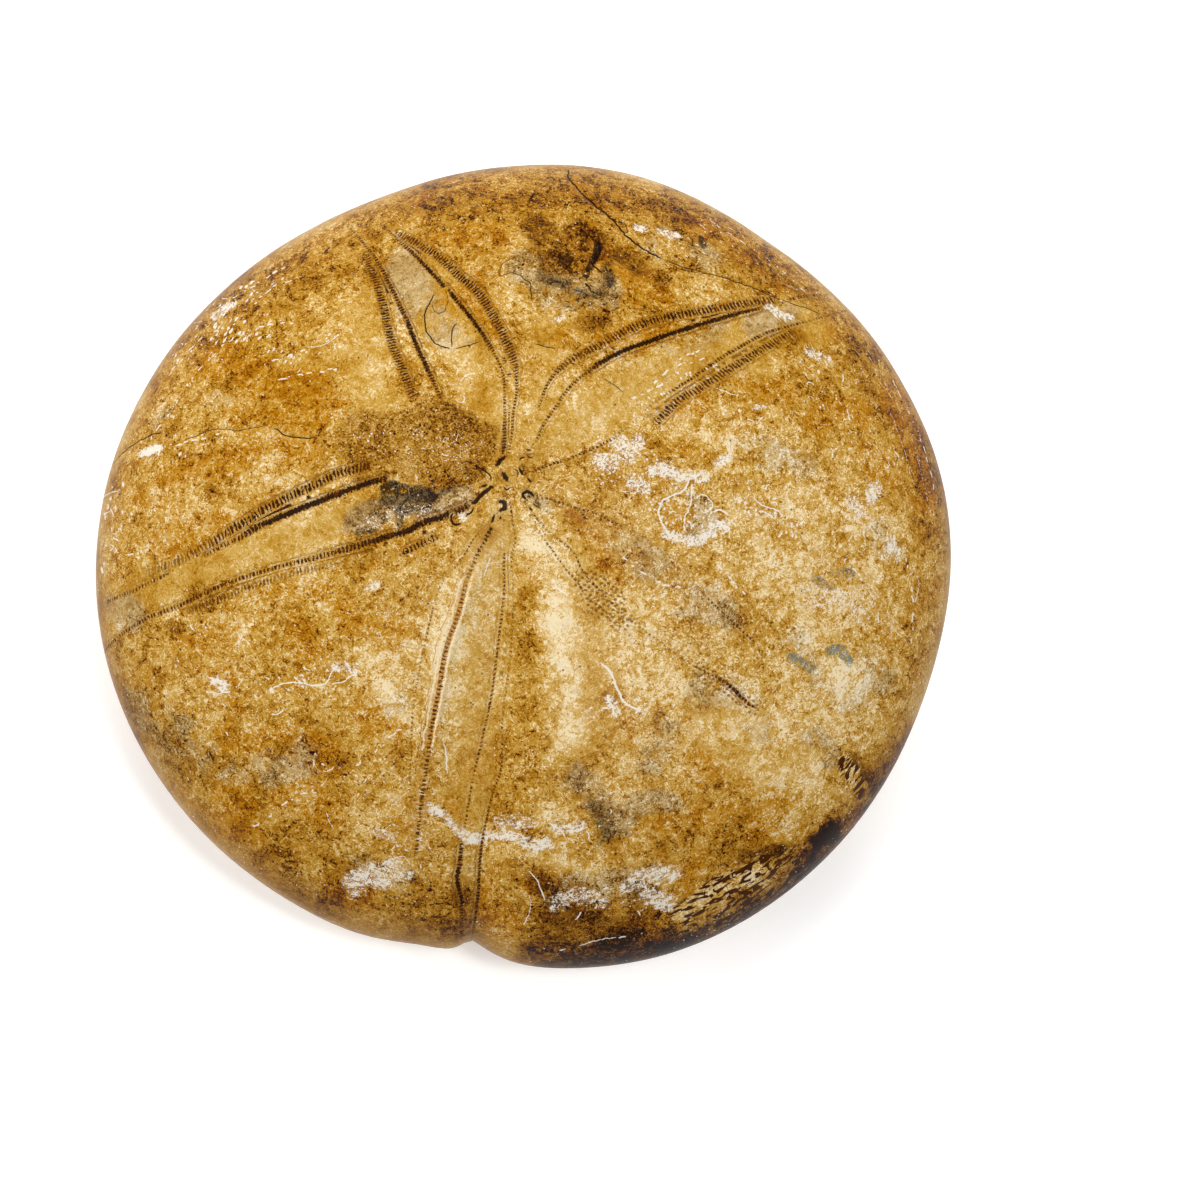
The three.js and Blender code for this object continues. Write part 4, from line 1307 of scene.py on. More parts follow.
def front_petal_relief(x, y):
    """Depth of the crease down the front petal, less the heights of the swelling and the raised row."""
    along = smoothstep(-2.5, -8, y) * smoothstep(-27, -20, y)
    distance, side = distance_to(BULGE_CREST, x, y)
    width = np.where(side > 0, BULGE_RIGHT_WIDTH, BULGE_LEFT_WIDTH)
    bulge = BULGE_HEIGHT * along * np.exp(-((distance / width) ** 2))
    distance, _ = distance_to(TROUGH_CREASE, x, y)
    crease = CREASE_DEPTH * along * np.clip(1 - distance / CREASE_WIDTH, 0, 1)
    along = smoothstep(-4.5, -8, y) * smoothstep(-27, -21, y)
    distance, _ = distance_to(PORE_RIDGE, x, y)
    ridge = RIDGE_HEIGHT * along * np.exp(-((distance / RIDGE_WIDTH) ** 2))
    return crease - bulge - ridge


def dome_relief(layout, points, marks, noise):
    """Depth of each dome point below the smooth surface."""
    values = layout.values
    depth = pore_relief(values) + CRACK_DEPTH * values["crack"] - SCRATCH_AND_GLINT_HEIGHT * values["scratch"]
    rough = noise.at(points, 0.55) + 0.6 * noise.at(points + 40, 0.3)
    for name, (own_depth, roughness) in ROUGH_STAINS.items():
        depth += marks[name] * (own_depth + roughness * rough)
    depth += marks["chalk"] * CHALK_DEPTH
    depth += 0.05 * noise.at(points, 6.0) + 0.025 * noise.at(points + 20, 2.4)
    return depth + front_petal_relief(points[:, 0], points[:, 1])


def lay_out_underside(rng):
    layout = Layout()
    for bearing, _ in PETALS.values():
        for side in (-1, 1):
            lay_pore_row(layout, "line", UNDERSIDE_ROW_HALF, underside_row(bearing, side), UNDERSIDE_PITCH)
    grid = hexagonal_grid(UNDERSIDE_SPACING, rng)
    grid = grid[np.hypot(grid[:, 0], grid[:, 1]) < MAP_RADIUS - UNDERSIDE_RING_GAP]
    layout.add(grid[layout.clear_of_sections(grid, 0.25)])
    ring = ring_of_points()
    layout.add((ring * (1 - INNER_RING_GAP / MAP_RADIUS))[::2])
    layout.add(ring)
    return layout


def underside_relief(layout, points, noise):
    """Depth of each underside point into the stone."""
    values = layout.values
    from_mouth = np.hypot(layout.points[:, 0], layout.points[:, 1])
    bearing = np.degrees(np.arctan2(layout.points[:, 1], layout.points[:, 0]))
    petals = np.array([petal_bearing for petal_bearing, _ in PETALS.values()])
    off_petal = np.abs(wrap_degrees(bearing[:, None] - petals)).min(1)
    aside = from_mouth * np.sin(np.radians(np.minimum(off_petal, 90)))
    furrow_along = smoothstep(3, 6, from_mouth) * smoothstep(26, 14, from_mouth)
    furrow = np.exp(-((aside / FURROW_WIDTH) ** 2)) * furrow_along
    lip = np.exp(-(((from_mouth - LIP_RADIUS) / LIP_WIDTH) ** 2)) * smoothstep(8, 26, off_petal)
    across = (points[:, 0] - VENT_MIDDLE[0]) / VENT_HALF_LENGTHS[0]
    along = (points[:, 1] - VENT_MIDDLE[1]) / VENT_HALF_LENGTHS[1]
    vent = 1 - smoothstep(0.5, 1.1, np.hypot(across, along))
    pores = values["pore_dark"] * (1 - smoothstep(0.6, 1.2, np.abs(values["pore_across"])))
    waves = UNDERSIDE_WAVES * (1 + noise.at(points, 2.2))
    return (
        FURROW_DEPTH * furrow - LIP_HEIGHT * lip + VENT_DEPTH * vent + UNDERSIDE_PORE_DEPTH * pores + waves
    )


def stain(points, noise, own_marks):
    """Strength of every kind of mark, and the lightness, at points of either side."""
    fray = fraying(points, noise)
    x, y = points[:, 0], points[:, 1]
    marks = {name: mark_strength(own_marks.get(name, []), x, y, fray) for name in MARKS}
    marks["tone"] = sum(
        amount * noise.at(points + shift, size)
        for amount, shift, size in ((0.10, 0, 7.0), (0.09, 15, 3.3), (0.08, 70, 1.5))
    )
    marks["amber"] += 0.35 * noise.at(points + 33, 4.4) + 0.3 * noise.at(points + 77, 1.7)
    if own_marks is MARKS:
        marks["tone"] += tone_and_painted_light(x + 0.8 * fray[:, 0], y + 0.8 * fray[:, 1])
    return marks


def reach_on_map(layout):
    return np.hypot(layout.points[:, 0], layout.points[:, 1]) / MAP_RADIUS


def build_dome(rng, noise):
    """Layout, points, triangles and marks of the dome, down to the edge ring."""
    layout = lay_out_dome(rng)
    drop_doubles(layout)
    faces = triangulate(layout.points)
    points = dome_points(layout.points)
    marks = stain(points, noise, MARKS)
    reach = reach_on_map(layout)
    marks["rim"] = smoothstep(0.86, 0.98, reach)
    marks["under"] = np.zeros(len(points))
    depth = dome_relief(layout, points, marks, noise) * (1 - smoothstep(0.97, 1.0, reach))
    return layout, points - corner_normals(points, faces) * depth[:, None], faces, marks


def build_underside(rng, noise):
    """The same for the underside. The dome's stains run on over the edge."""
    layout = lay_out_underside(rng)
    drop_doubles(layout)
    faces = triangulate(layout.points)
    points = underside_points(layout.points)
    marks = stain(points, noise, UNDERSIDE_MARKS)
    reach = reach_on_map(layout)
    near_edge = smoothstep(0.78, 0.98, reach)
    for name, value in stain(points, noise, MARKS).items():
        marks[name] = marks[name] * (1 - near_edge) + value * near_edge
    marks["rim"] = smoothstep(0.80, 0.96, reach)
    marks["under"] = 1 - smoothstep(0.82, 0.96, reach)
    points[:, 2] += underside_relief(layout, points, noise) * (1 - smoothstep(0.86, 0.97, reach))
    points[:, 2] = np.maximum(points[:, 2], 0)
    return layout, points, faces, marks


def make_mesh(points, faces):
    """Smooth mesh of triangles, in metres, from points in millimetres from the apex."""
    world = points.copy()
    world[:, :2] += APEX
    mesh = bpy.data.meshes.new("fossil_stone")
    mesh.vertices.add(len(world))
    mesh.vertices.foreach_set("co", (world * MM).astype(np.float32).ravel())
    mesh.loops.add(faces.size)
    mesh.loops.foreach_set("vertex_index", faces.astype(np.int32).ravel())
    mesh.polygons.add(len(faces))
    mesh.polygons.foreach_set("loop_start", np.arange(0, faces.size, 3, dtype=np.int32))
    mesh.polygons.foreach_set("loop_total", np.full(len(faces), 3, np.int32))
    mesh.polygons.foreach_set("use_smooth", np.ones(len(faces), bool))
    mesh.update(calc_edges=True)
    mesh.validate()
    return mesh


def build_fossil():
    """One closed mesh: the two sides share the points of the edge ring, which come last on both."""
    rng = np.random.default_rng(RANDOM_SEED)
    noise = Noise(rng)
    layout, dome, dome_faces, marks = build_dome(rng, noise)
    under_layout, under, under_faces, under_marks = build_underside(rng, noise)
    under_inner = len(under) - RING_POINTS
    index = np.arange(len(under))
    on_ring = index >= under_inner
    joined = index + np.where(on_ring, len(dome) - len(under), len(dome))
    points = np.vstack([dome, under[:under_inner]])
    faces = np.vstack([dome_faces, joined[under_faces][:, ::-1]])
    mesh = make_mesh(points, faces)
    for values, under_values in ((layout.values, under_layout.values), (marks, under_marks)):
        for name, value in values.items():
            both = np.concatenate([value, under_values[name][:under_inner]]).astype(np.float32)
            mesh.attributes.new(name, "FLOAT", "POINT").data.foreach_set("value", both)
    fossil = bpy.data.objects.new("fossil_stone", mesh)
    bpy.context.scene.collection.objects.link(fossil)
    print("fossil mesh:", len(points), "points,", len(faces), "faces")
    return fossil


# ---------------------------------------------------------------------------------------------
# Material.
# ---------------------------------------------------------------------------------------------
LIGHT_SHARE = 0.69
GLOSS_SHARE = 0.006
LEAST_SHARE = 0.4


def linear(red, green, blue):
    """Linear colour of an 8-bit sRGB one."""
    values = []
    for channel in (red, green, blue):
        share = channel / 255
        values.append(share / 12.92 if share <= 0.04045 else ((share + 0.055) / 1.055) ** 2.4)
    return (*values, 1.0)


def albedo(red, green, blue):
    """Base colour that the studio light shows as an 8-bit sRGB one."""
    lit = [channel * LIGHT_SHARE for channel in linear(red, green, blue)[:3]]
    return (*(max(channel - GLOSS_SHARE, LEAST_SHARE * channel) for channel in lit), 1.0)


STONE_RAMP = [
    (0.00, albedo(40, 18, 3)), (0.12, albedo(104, 58, 8)), (0.25, albedo(147, 93, 16)),
    (0.40, albedo(174, 121, 36)), (0.52, albedo(189, 140, 52)), (0.62, albedo(200, 156, 70)),
    (0.74, albedo(212, 172, 92)), (0.87, albedo(230, 198, 139)), (1.00, albedo(246, 226, 184)),
]
AMBER_RAMP = [
    (0.00, albedo(60, 28, 2)), (0.15, albedo(118, 66, 2)), (0.30, albedo(150, 90, 2)),
    (0.42, albedo(172, 110, 8)), (0.54, albedo(187, 129, 28)), (0.66, albedo(198, 146, 50)),
    (0.82, albedo(212, 174, 100)), (1.00, albedo(234, 214, 176)),
]
GREY_RAMP = [
    (0.00, albedo(24, 13, 6)), (0.15, albedo(72, 50, 26)), (0.30, albedo(122, 94, 54)),
    (0.45, albedo(158, 129, 82)), (0.58, albedo(184, 154, 104)), (0.72, albedo(203, 175, 126)),
    (0.86, albedo(219, 197, 155)), (1.00, albedo(240, 230, 212)),
]
SOOT_RAMP = [
    (0.00, albedo(16, 10, 6)), (0.30, albedo(44, 32, 20)), (0.50, albedo(92, 77, 56)),
    (0.75, albedo(140, 123, 94)), (1.00, albedo(196, 180, 148)),
]
DARK_BROWN = albedo(44, 18, 3)
BROWN = albedo(112, 68, 14)
NET_GAP = albedo(72, 40, 6)
CHALK = albedo(206, 184, 150)
WHITE = albedo(244, 236, 220)
PORE = albedo(38, 12, 2)
SHALLOW_PORE = albedo(92, 50, 6)
PORE_BAND = albedo(166, 108, 26)
SLATE = albedo(90, 106, 102)
# Painted highlight colour of the glints along the front petal's raised row.
GLINT = albedo(246, 226, 184)
RIDGE_GROOVE = albedo(186, 128, 46)
BASE_LIGHT = 0.57
MATRIX_LIGHT = 0.32
RIM_LIGHT = 0.46
WAVES_PER_NOISE = 13.0
CONTOUR_WIDTH = 0.05
DOTS_PER_MM = (2.0, 2.5, 1)
BUMP_DISTANCE = 0.00006


class Graph:
    """Short names for making and joining shader nodes."""

    def __init__(self, name):
        self.material = bpy.data.materials.new(name)
        self.material.use_nodes = True
        self.nodes = self.material.node_tree.nodes
        self.links = self.material.node_tree.links
        self.nodes.clear()

    def node(self, kind, inputs=(), **settings):
        made = self.nodes.new(kind)
        for name, value in settings.items():
            setattr(made, name, value)
        for key, value in dict(inputs).items():
            self.feed(made.inputs[key], value)
        return made

    def feed(self, socket, value):
        if isinstance(value, bpy.types.NodeSocket):
            self.links.new(value, socket)
        else:
            socket.default_value = value

    def math(self, operation, *values):
        made = self.node("ShaderNodeMath", operation=operation)
        for socket, value in zip(made.inputs, values):
            self.feed(socket, value)
        return made.outputs[0]

    def chain(self, operation, values):
        result = values[0]
        for value in values[1:]:
            result = self.math(operation, result, value)
        return result

    def total(self, *values):
        return self.chain("ADD", values)

    def times(self, *values):
        return self.chain("MULTIPLY", values)

    def most(self, *values):
        return self.chain("MAXIMUM", values)

    def centred(self, noise, amount):
        """A noise moved to lie about 0, times an amount."""
        return self.times(self.math("SUBTRACT", noise, 0.5), amount)

    def vector(self, operation, *values):
        made = self.node("ShaderNodeVectorMath", operation=operation)
        for socket, value in zip(made.inputs, values):
            self.feed(socket, value)
        return made.outputs["Value" if operation == "LENGTH" else "Vector"]

    def scale(self, vector, amount):
        made = self.node("ShaderNodeVectorMath", operation="SCALE")
        self.feed(made.inputs[0], vector)
        self.feed(made.inputs["Scale"], amount)
        return made.outputs["Vector"]

    def step(self, low, high, value):
        inputs = {"Value": value, "From Min": low, "From Max": high}
        return self.node("ShaderNodeMapRange", inputs, interpolation_type="SMOOTHSTEP").outputs[0]

    def contour(self, noise):
        """Thin lines where a noise passes its middle value."""
        off_middle = self.math("ABSOLUTE", self.math("SUBTRACT", noise, 0.5))
        return self.step(CONTOUR_WIDTH, 0.7 * CONTOUR_WIDTH, off_middle)

    def mix(self, share, first, second):
        made = self.node("ShaderNodeMix", data_type="RGBA")
        self.feed(made.inputs[0], share)
        self.feed(made.inputs[6], first)
        self.feed(made.inputs[7], second)
        return made.outputs[2]

    def ramp(self, value, stops):
        made = self.node("ShaderNodeValToRGB", {"Fac": value})
        elements = made.color_ramp.elements
        for position, colour in stops[1:-1]:
            elements.new(position).color = colour
        elements[0].position, elements[0].color = stops[0]
        elements[-1].position, elements[-1].color = stops[-1]
        return made.outputs["Color"]

    def noise(self, vector, scale, detail=2.0, roughness=0.5, distortion=0.0, output="Fac"):
        inputs = {"Vector": vector, "Scale": scale, "Detail": detail, "Roughness": roughness,
                  "Distortion": distortion}
        return self.node("ShaderNodeTexNoise", inputs).outputs[output]

    def voronoi(self, vector, scale, randomness=1.0, output="Distance", **settings):
        inputs = {"Vector": vector, "Scale": scale, "Randomness": randomness}
        return self.node("ShaderNodeTexVoronoi", inputs, **settings).outputs[output]

    def attribute(self, name):
        return self.node("ShaderNodeAttribute", attribute_name=name).outputs["Fac"]


class Stone(Graph):
    """The stone's material. Each layer's method lays its colour over what is there already."""

    def __init__(self):
        super().__init__("polished_fossil_stone")
        self.place = self.scale(self.node("ShaderNodeTexCoord").outputs["Object"], 1 / MM)
        self.from_apex = self.vector("SUBTRACT", self.place, (APEX[0], APEX[1], 0))
        flat = self.vector("MULTIPLY", self.from_apex, (1, 1, 0))
        self.direction = self.vector("NORMALIZE", flat)
        self.outwards = self.node("ShaderNodeCombineXYZ", {"Z": self.vector("LENGTH", flat)}).outputs[0]
        warp = self.scale(self.noise(self.place, 0.7, 4.0, 0.6, output="Color"), 3.6)
        cells = self.voronoi(self.vector("ADD", self.place, warp), 0.42, output="Color")
        patches = self.node("ShaderNodeSeparateColor", {"Color": cells}).outputs
        self.noises = {
            "curls": self.noise(self.place, 3.3, 1.5, 0.6, 1.5),
            "strokes": self.noise(self.along_rim(42, 4.2), 1.0, 1.5, 0.6, 0.6),
            "mottle": self.noise(self.place, 0.72, 5.0, 0.64, 1.0),
            "blotch": self.noise(self.place, 0.36, 6.0, 0.66, 1.3),
            "grit": self.noise(self.place, 7.0, 0.0),
            "patches": patches["Red"],
            "amber_patches": patches["Green"],
            "grey_patches": patches["Blue"],
        }
        # Lightness from the mesh, with its painted highlight and shade down the front petal.
        self.tone = self.attribute("tone")
        self.wisps = self.lay_out_wisps()
        self.light = self.lightness()
        self.colour = self.ramp(self.light, STONE_RAMP)

    def along_rim(self, around, outwards):
        """Coordinates for grain that runs round the dome: steps per radian, and per millimetre outwards."""
        return self.vector("ADD", self.scale(self.direction, around), self.scale(self.outwards, outwards))

    def ragged(self, value, **amounts):
        """A value with so much of each named noise added."""
        added = (self.centred(self.noises[name], amount) for name, amount in amounts.items())
        return self.total(value, *added)

    def ragged_mark(self, name, low, high, **amounts):
        """Where a mark shows, from not at all at low to fully at high."""
        return self.step(low, high, self.ragged(self.attribute(name), **amounts))

    def lay(self, strength, share, colour):
        """Lays a colour over the stone: all of its share where the strength is 1."""
        self.colour = self.mix(self.times(strength, share), self.colour, colour)

    def darker(self, amount, stops):
        return self.ramp(self.math("SUBTRACT", self.light, amount), stops)

    def lay_out_wisps(self):
        """Thin lines, lighter and darker than the stone around them."""
        waves = self.times(self.noise(self.place, 1.7, 1.0, 0.5, 1.2), WAVES_PER_NOISE)
        waves = self.math("SINE", waves)
        threads = self.noise(self.place, 1.5, 0.5, 0.5, 1.4)
        other_threads = self.noise(self.vector("ADD", self.place, (31, 17, 5)), 1.4, 0.5, 0.5, 1.4)
        broken = self.ragged(self.noises["mottle"], curls=1.2)
        return self.total(
            self.times(self.step(0.45, 0.85, waves), self.step(0.42, 0.55, broken), 0.08),
            self.times(self.step(-0.45, -0.85, waves), self.step(0.55, 0.42, broken), -0.10),
            self.times(self.contour(threads), self.step(0.46, 0.52, broken), 0.20),
            self.times(self.contour(other_threads), self.step(0.54, 0.48, broken), -0.22),
        )

    def lightness(self):
        """One lightness for every colour ramp, calmer where the stone is smooth."""
        curly = self.centred(self.step(0.43, 0.57, self.noises["curls"]), 0.05)
        mottled = self.centred(self.step(0.42, 0.56, self.noises["mottle"]), 0.08)
        grain = self.ragged(self.total(curly, mottled, self.wisps),
                            curls=0.20, strokes=0.30, mottle=0.28, grit=0.20, patches=0.11)
        calm = self.math("SUBTRACT", 1.1, self.times(self.attribute("smooth"), 0.55))
        blotches = self.centred(self.step(0.4, 0.6, self.noises["blotch"]), 0.08)
        return self.total(BASE_LIGHT, self.tone, blotches, self.times(grain, calm))

    def lay_amber_and_grey(self):
        amber = self.ragged_mark("amber", 0.38, 0.5, blotch=1.4, mottle=1.0, amber_patches=0.4)
        self.lay(amber, 0.92, self.ramp(self.light, AMBER_RAMP))
        grey = self.ragged_mark("grey", 0.25, 0.85, blotch=1.2, mottle=1.2, grey_patches=0.5)
        self.lay(grey, 0.8, self.darker(0.04, GREY_RAMP))

    def lay_matrix(self):
        """The brown rough stone that fills the hollow between two petals."""
        self.matrix = self.ragged_mark("matrix", 0.3, 0.65, mottle=1.5)
        light = self.ragged(self.total(MATRIX_LIGHT, self.tone, self.wisps),
                            curls=0.5, strokes=0.4, grit=0.6, mottle=0.2)
        rough = self.mix(0.08, self.ramp(light, STONE_RAMP), self.ramp(light, GREY_RAMP))
        self.lay(self.matrix, 0.88, rough)

    def lay_brown_stains(self):
        brown = self.ragged_mark("brown", 0.3, 0.8, mottle=2.2, curls=0.8)
        self.lay(brown, 0.85, self.darker(0.26, STONE_RAMP))
        self.pit = self.ragged_mark("pit", 0.2, 0.6, mottle=1.8, curls=1.0)
        self.lay(self.pit, 0.9, self.darker(0.3, STONE_RAMP))

    def lay_soot_and_slate(self):
        soot = self.times(self.attribute("soot"), self.ragged(1.0, mottle=2.6, curls=3.0))
        self.lay(self.step(0.35, 0.7, soot), 0.96, self.darker(0.3, SOOT_RAMP))
        slate = self.times(self.attribute("slate"), self.ragged(0.75, curls=4.0, strokes=2.0))
        self.lay(self.step(0.5, 0.6, slate), 0.8, SLATE)

    def lay_net(self):
        """Net of pale islands near the rim."""
        weave = self.times(self.noise(self.along_rim(26, 2.6), 1.0, 1.0, 0.5, 1.0), WAVES_PER_NOISE)
        island = self.step(-0.35, 0.1, self.math("SINE", weave))
        net = self.ragged_mark("net", 0.35, 0.6, mottle=1.0)
        self.lay(net, 1.0, self.mix(island, NET_GAP, self.darker(-0.24, STONE_RAMP)))

    def lay_rim_shade(self):
        """Darker, greyer band round the rim: painted shade and painted reflection where the dome turns
        steeply down to the edge.
        """
        light = self.total(self.tone, RIM_LIGHT)
        rim_shade_colour = self.mix(0.5, self.ramp(light, STONE_RAMP), self.ramp(light, GREY_RAMP))
        self.lay(self.attribute("rim"), 0.65, rim_shade_colour)

    def lay_specks(self):
        """Dark and white specks all over, and brown dots in the rubbed petal."""
        specks = self.step(0.15, 0.09, self.voronoi(self.place, 1.25))
        self.lay(self.times(specks, self.step(0.5, 0.6, self.noises["mottle"])), 0.8, DARK_BROWN)
        motes = self.step(0.14, 0.08, self.voronoi(self.place, 1.7))
        self.lay(self.times(motes, self.step(0.47, 0.56, self.noises["blotch"])), 0.8, WHITE)
        turn = -math.radians(PETALS["right"][0])
        inputs = {"Vector": self.from_apex, "Rotation": (0, 0, turn), "Scale": DOTS_PER_MM}
        petal_place = self.node("ShaderNodeMapping", inputs).outputs[0]
        dots = self.step(0.36, 0.22, self.voronoi(petal_place, 1.0, 0.4, voronoi_dimensions="2D"))
        self.lay(self.times(dots, self.ragged_mark("dots", 0.25, 0.6)), 0.75, BROWN)

    def lay_knobs(self):
        """Small rubbed knobs of the underside, each in a dark ring."""
        knobs = self.voronoi(self.place, 1.1, 0.7)
        under = self.attribute("under")
        self.knob = self.times(self.step(0.28, 0.14, knobs), under)
        ring = self.times(self.step(0.46, 0.36, knobs), self.step(0.22, 0.3, knobs), under)
        self.lay(ring, 0.3, BROWN)
        self.lay(self.knob, 0.35, CHALK)

    def lay_chalk(self):
        """A thin pale film, and ragged white chalk on it."""
        marked = self.attribute("chalk")
        powder = self.noise(self.place, 2.3, 4.0, 0.7, 2.0)
        film = self.times(marked, self.total(0.8, self.centred(powder, 3.0)))
        self.lay(self.step(0.3, 0.6, film), 0.35, CHALK)
        crumbs = self.ragged(self.total(marked, self.centred(powder, 3.6)), strokes=1.6)
        self.chalk = self.times(self.step(0.74, 0.80, crumbs), self.step(0.1, 0.3, marked))
        self.lay(self.chalk, 0.9, WHITE)

    def lay_flecks_scratches_and_glints(self):
        wanted = self.ragged_mark("flecks", 0.2, 0.75, mottle=1.4)
        shards = self.ragged(self.voronoi(self.along_rim(30, 2.6), 1.0), curls=0.8)
        fleck = self.step(0.03, -0.05, self.math("SUBTRACT", shards, self.times(wanted, 0.24)))
        self.lay(fleck, 0.9, WHITE)
        # White scratches, seams and threads, and the painted glint streaks on the front petal's raised row.
        self.lay(self.ragged_mark("scratch", 0.35, 0.55, curls=1.1), 0.9, WHITE)

    def lay_pores(self):
        """Slits and dots of the pore rows, from the place along and across each row."""
        duty = self.attribute("pore_duty")
        glint = self.attribute("pore_glint")
        signed = self.attribute("pore_across")
        outside = self.math("ABSOLUTE", signed)
        run = self.math("FRACT", self.ragged(self.attribute("pore_run"), strokes=1.6))
        phase = self.math("ABSOLUTE", self.math("DIVIDE", self.math("SUBTRACT", run, 0.5), duty))
        narrower = self.total(1.0, self.times(self.step(0.0, 0.01, glint), 2.4))
        across = self.times(outside, narrower, self.ragged(1.05, curls=-2.0, grit=1.2))
        dark = self.ragged(self.attribute("pore_dark"), mottle=1.2, curls=0.5)
        on_row = self.step(1.6, 0.9, outside)
        self.lay(self.times(on_row, self.step(0.2, 0.75, dark)), 0.5, PORE_BAND)
        self.lay_ridge(signed, outside, glint)
        core = self.times(self.step(0.8, 0.55, across), self.step(0.72, 0.95, dark))
        core = self.times(core, self.step(0.30, 0.32, duty))
        shape = self.total(self.math("POWER", phase, 2.0),
                           self.math("POWER", self.math("ABSOLUTE", across), 3.0))
        teeth = self.times(self.step(1.5, 0.6, shape), on_row, self.step(-0.1, 0.5, dark))
        shade = self.mix(self.step(0.5, 1.0, self.ragged(dark, curls=2.0)), SHALLOW_PORE, PORE)
        self.lay(self.most(core, teeth), 0.97, shade)

    def lay_ridge(self, signed, outside, glint):
        """The front petal's raised pore row: a groove between two painted highlight lines, the glints along
        its lips.
        """
        self.lay(self.times(self.step(0.42, 0.3, outside), glint), 0.8, RIDGE_GROOVE)
        right = self.math("ABSOLUTE", self.ragged(self.total(signed, -0.5), curls=0.9))
        left = self.math("ABSOLUTE", self.ragged(self.total(signed, 0.8), mottle=1.3))
        lines = self.most(self.step(0.17, 0.09, right), self.times(self.step(0.16, 0.08, left), 0.8))
        broken = self.step(0.25, 0.7, self.ragged(glint, strokes=2.4, mottle=1.2))
        self.lay(self.times(lines, broken), 0.95, GLINT)

    def lay_cracks(self):
        self.lay(self.ragged_mark("crack", 0.12, 0.45, curls=0.5), 0.97, DARK_BROWN)

    def finish(self):
        """Polished, dulled in the matrix, the pit and the chalk."""
        curls = self.noises["curls"]
        height = self.total(self.times(curls, 0.6), self.times(self.noises["strokes"], 0.5),
                            self.times(curls, self.matrix, 1.5), self.times(self.knob, 1.2))
        bump = self.node("ShaderNodeBump", {"Height": height, "Strength": 0.6, "Distance": BUMP_DISTANCE})
        dull = self.times(self.most(self.matrix, self.pit, self.chalk), 0.3)
        shader = self.node("ShaderNodeBsdfPrincipled", {
            "Base Color": self.colour,
            "Roughness": self.ragged(self.total(0.4, dull), curls=0.3),
            "Normal": bump.outputs["Normal"],
            "IOR": 1.45,
            "Specular IOR Level": 0.05,
            "Coat Weight": 0.09,
            "Coat Roughness": 0.3,
        })
        self.node("ShaderNodeOutputMaterial", {"Surface": shader.outputs["BSDF"]})


def stone_material():
    stone = Stone()
    for lay_layer in (
        stone.lay_amber_and_grey, stone.lay_matrix, stone.lay_brown_stains, stone.lay_soot_and_slate,
        stone.lay_net, stone.lay_rim_shade, stone.lay_specks, stone.lay_knobs, stone.lay_chalk,
        stone.lay_flecks_scratches_and_glints, stone.lay_pores, stone.lay_cracks,
    ):
        lay_layer()
    stone.finish()
    return stone.material


# ---------------------------------------------------------------------------------------------
# Floor, light and camera.
# ---------------------------------------------------------------------------------------------
CAMERA_DISTANCE = 0.420
CAMERA_LEAN = 11.0
CAMERA_BEARING = -35.0
CAMERA_AIM = Vector((0.00728, -0.0018, 0.0))
VIEW_WIDTH = 0.10545
SENSOR = 36.0
FLOOR_HALF_WIDTH = 3.0
FLOOR_CORNERS = ((-1, -1), (1, -1), (1, 1), (-1, 1))
# The floor lies this far under the fossil, so that the two faces don't coincide.
FLOOR_GAP = 0.00002
FLOOR_GLOW = 0.2
SKY_STRENGTH = 0.15
# Softboxes: lean off vertical and bearing in degrees, distance and size in metres, power in watts.
KEY_LIGHT = (12.8, 59, 0.7, (0.09, 0.24), 1.5)
SIDE_LEAN = 55
SIDE_DISTANCE = 1.0
SIDE_SIZE = (0.8, 0.8)
SIDE_POWERS = {0: 1.6, 90: 3.2, 180: 10.0, 270: 7.8}


def make_floor():
    mesh = bpy.data.meshes.new("floor")
    corners = [(x * FLOOR_HALF_WIDTH, y * FLOOR_HALF_WIDTH, 0) for x, y in FLOOR_CORNERS]
    mesh.from_pydata(corners, [], [(0, 1, 2, 3)])
    floor = bpy.data.objects.new("floor", mesh)
    floor.location.z = BOX_LOW.z - FLOOR_GAP
    bpy.context.scene.collection.objects.link(floor)
    graph = Graph("pale_floor")
    shader = graph.node("ShaderNodeBsdfPrincipled", {
        "Base Color": (0.95, 0.95, 0.95, 1), "Roughness": 0.9, "Specular IOR Level": 0.1,
        "Emission Color": (1, 1, 1, 1), "Emission Strength": FLOOR_GLOW,
    })
    graph.node("ShaderNodeOutputMaterial", {"Surface": shader.outputs["BSDF"]})
    mesh.materials.append(graph.material)


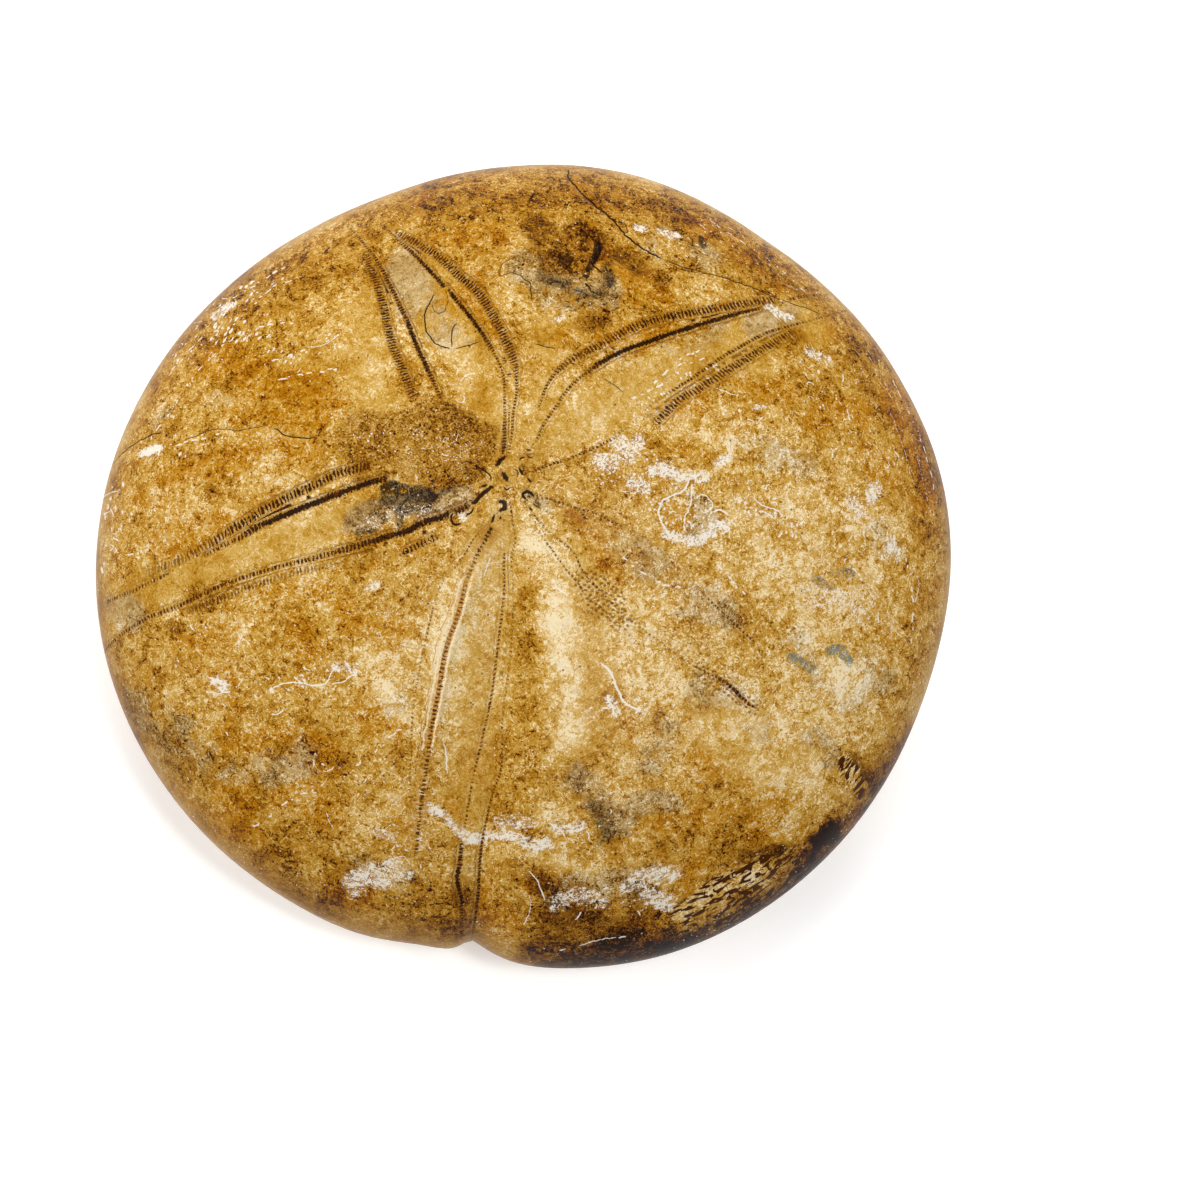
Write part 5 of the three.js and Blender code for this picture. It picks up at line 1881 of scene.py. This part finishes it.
def direction_from(lean, bearing):
    """Unit vector that leans off vertical towards a bearing: 0 is the front, positive is to the right."""
    lean, bearing = math.radians(lean), math.radians(bearing)
    return Vector((math.sin(bearing) * math.sin(lean), -math.cos(bearing) * math.sin(lean), math.cos(lean)))


def make_softbox(name, lean, bearing, distance, size, power, mirrored=True):
    light = bpy.data.lights.new(name, "AREA")
    light.shape = "RECTANGLE"
    light.size, light.size_y = size
    light.energy = power
    lamp = bpy.data.objects.new(name, light)
    lamp.visible_glossy = mirrored
    towards = direction_from(lean, bearing)
    lamp.location = towards * distance
    lamp.rotation_euler = towards.to_track_quat("Z", "Y").to_euler()
    bpy.context.scene.collection.objects.link(lamp)


def make_world():
    world = bpy.data.worlds.new("studio")
    world.use_nodes = True
    background = world.node_tree.nodes["Background"]
    background.inputs["Color"].default_value = (1.0, 1.0, 1.0, 1)
    background.inputs["Strength"].default_value = SKY_STRENGTH
    bpy.context.scene.world = world


def make_camera():
    back = direction_from(CAMERA_LEAN, CAMERA_BEARING)
    up = Vector((0, 1, 0)) - back * back.y
    up.normalize()
    right = up.cross(back)
    data = bpy.data.cameras.new("camera")
    data.sensor_width = SENSOR
    data.lens = SENSOR * CAMERA_DISTANCE / VIEW_WIDTH
    data.clip_start = 0.01
    camera = bpy.data.objects.new("camera", data)
    matrix = camera.matrix_world.copy()
    for row in range(3):
        matrix[row][0], matrix[row][1], matrix[row][2] = right[row], up[row], back[row]
    matrix.translation = CAMERA_AIM + back * CAMERA_DISTANCE
    camera.matrix_world = matrix
    bpy.context.scene.collection.objects.link(camera)
    bpy.context.scene.camera = camera


def build_scene():
    make_camera()
    make_world()
    make_floor()
    make_softbox("key", *KEY_LIGHT)
    for bearing, power in SIDE_POWERS.items():
        make_softbox(f"side_{bearing}", SIDE_LEAN, bearing, SIDE_DISTANCE, SIDE_SIZE, power, mirrored=False)
    fossil = build_fossil()
    fossil.data.materials.append(stone_material())
    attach(fossil, "root")
    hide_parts(NODE)
    bpy.context.scene.view_settings.view_transform = "Standard"


build_scene()
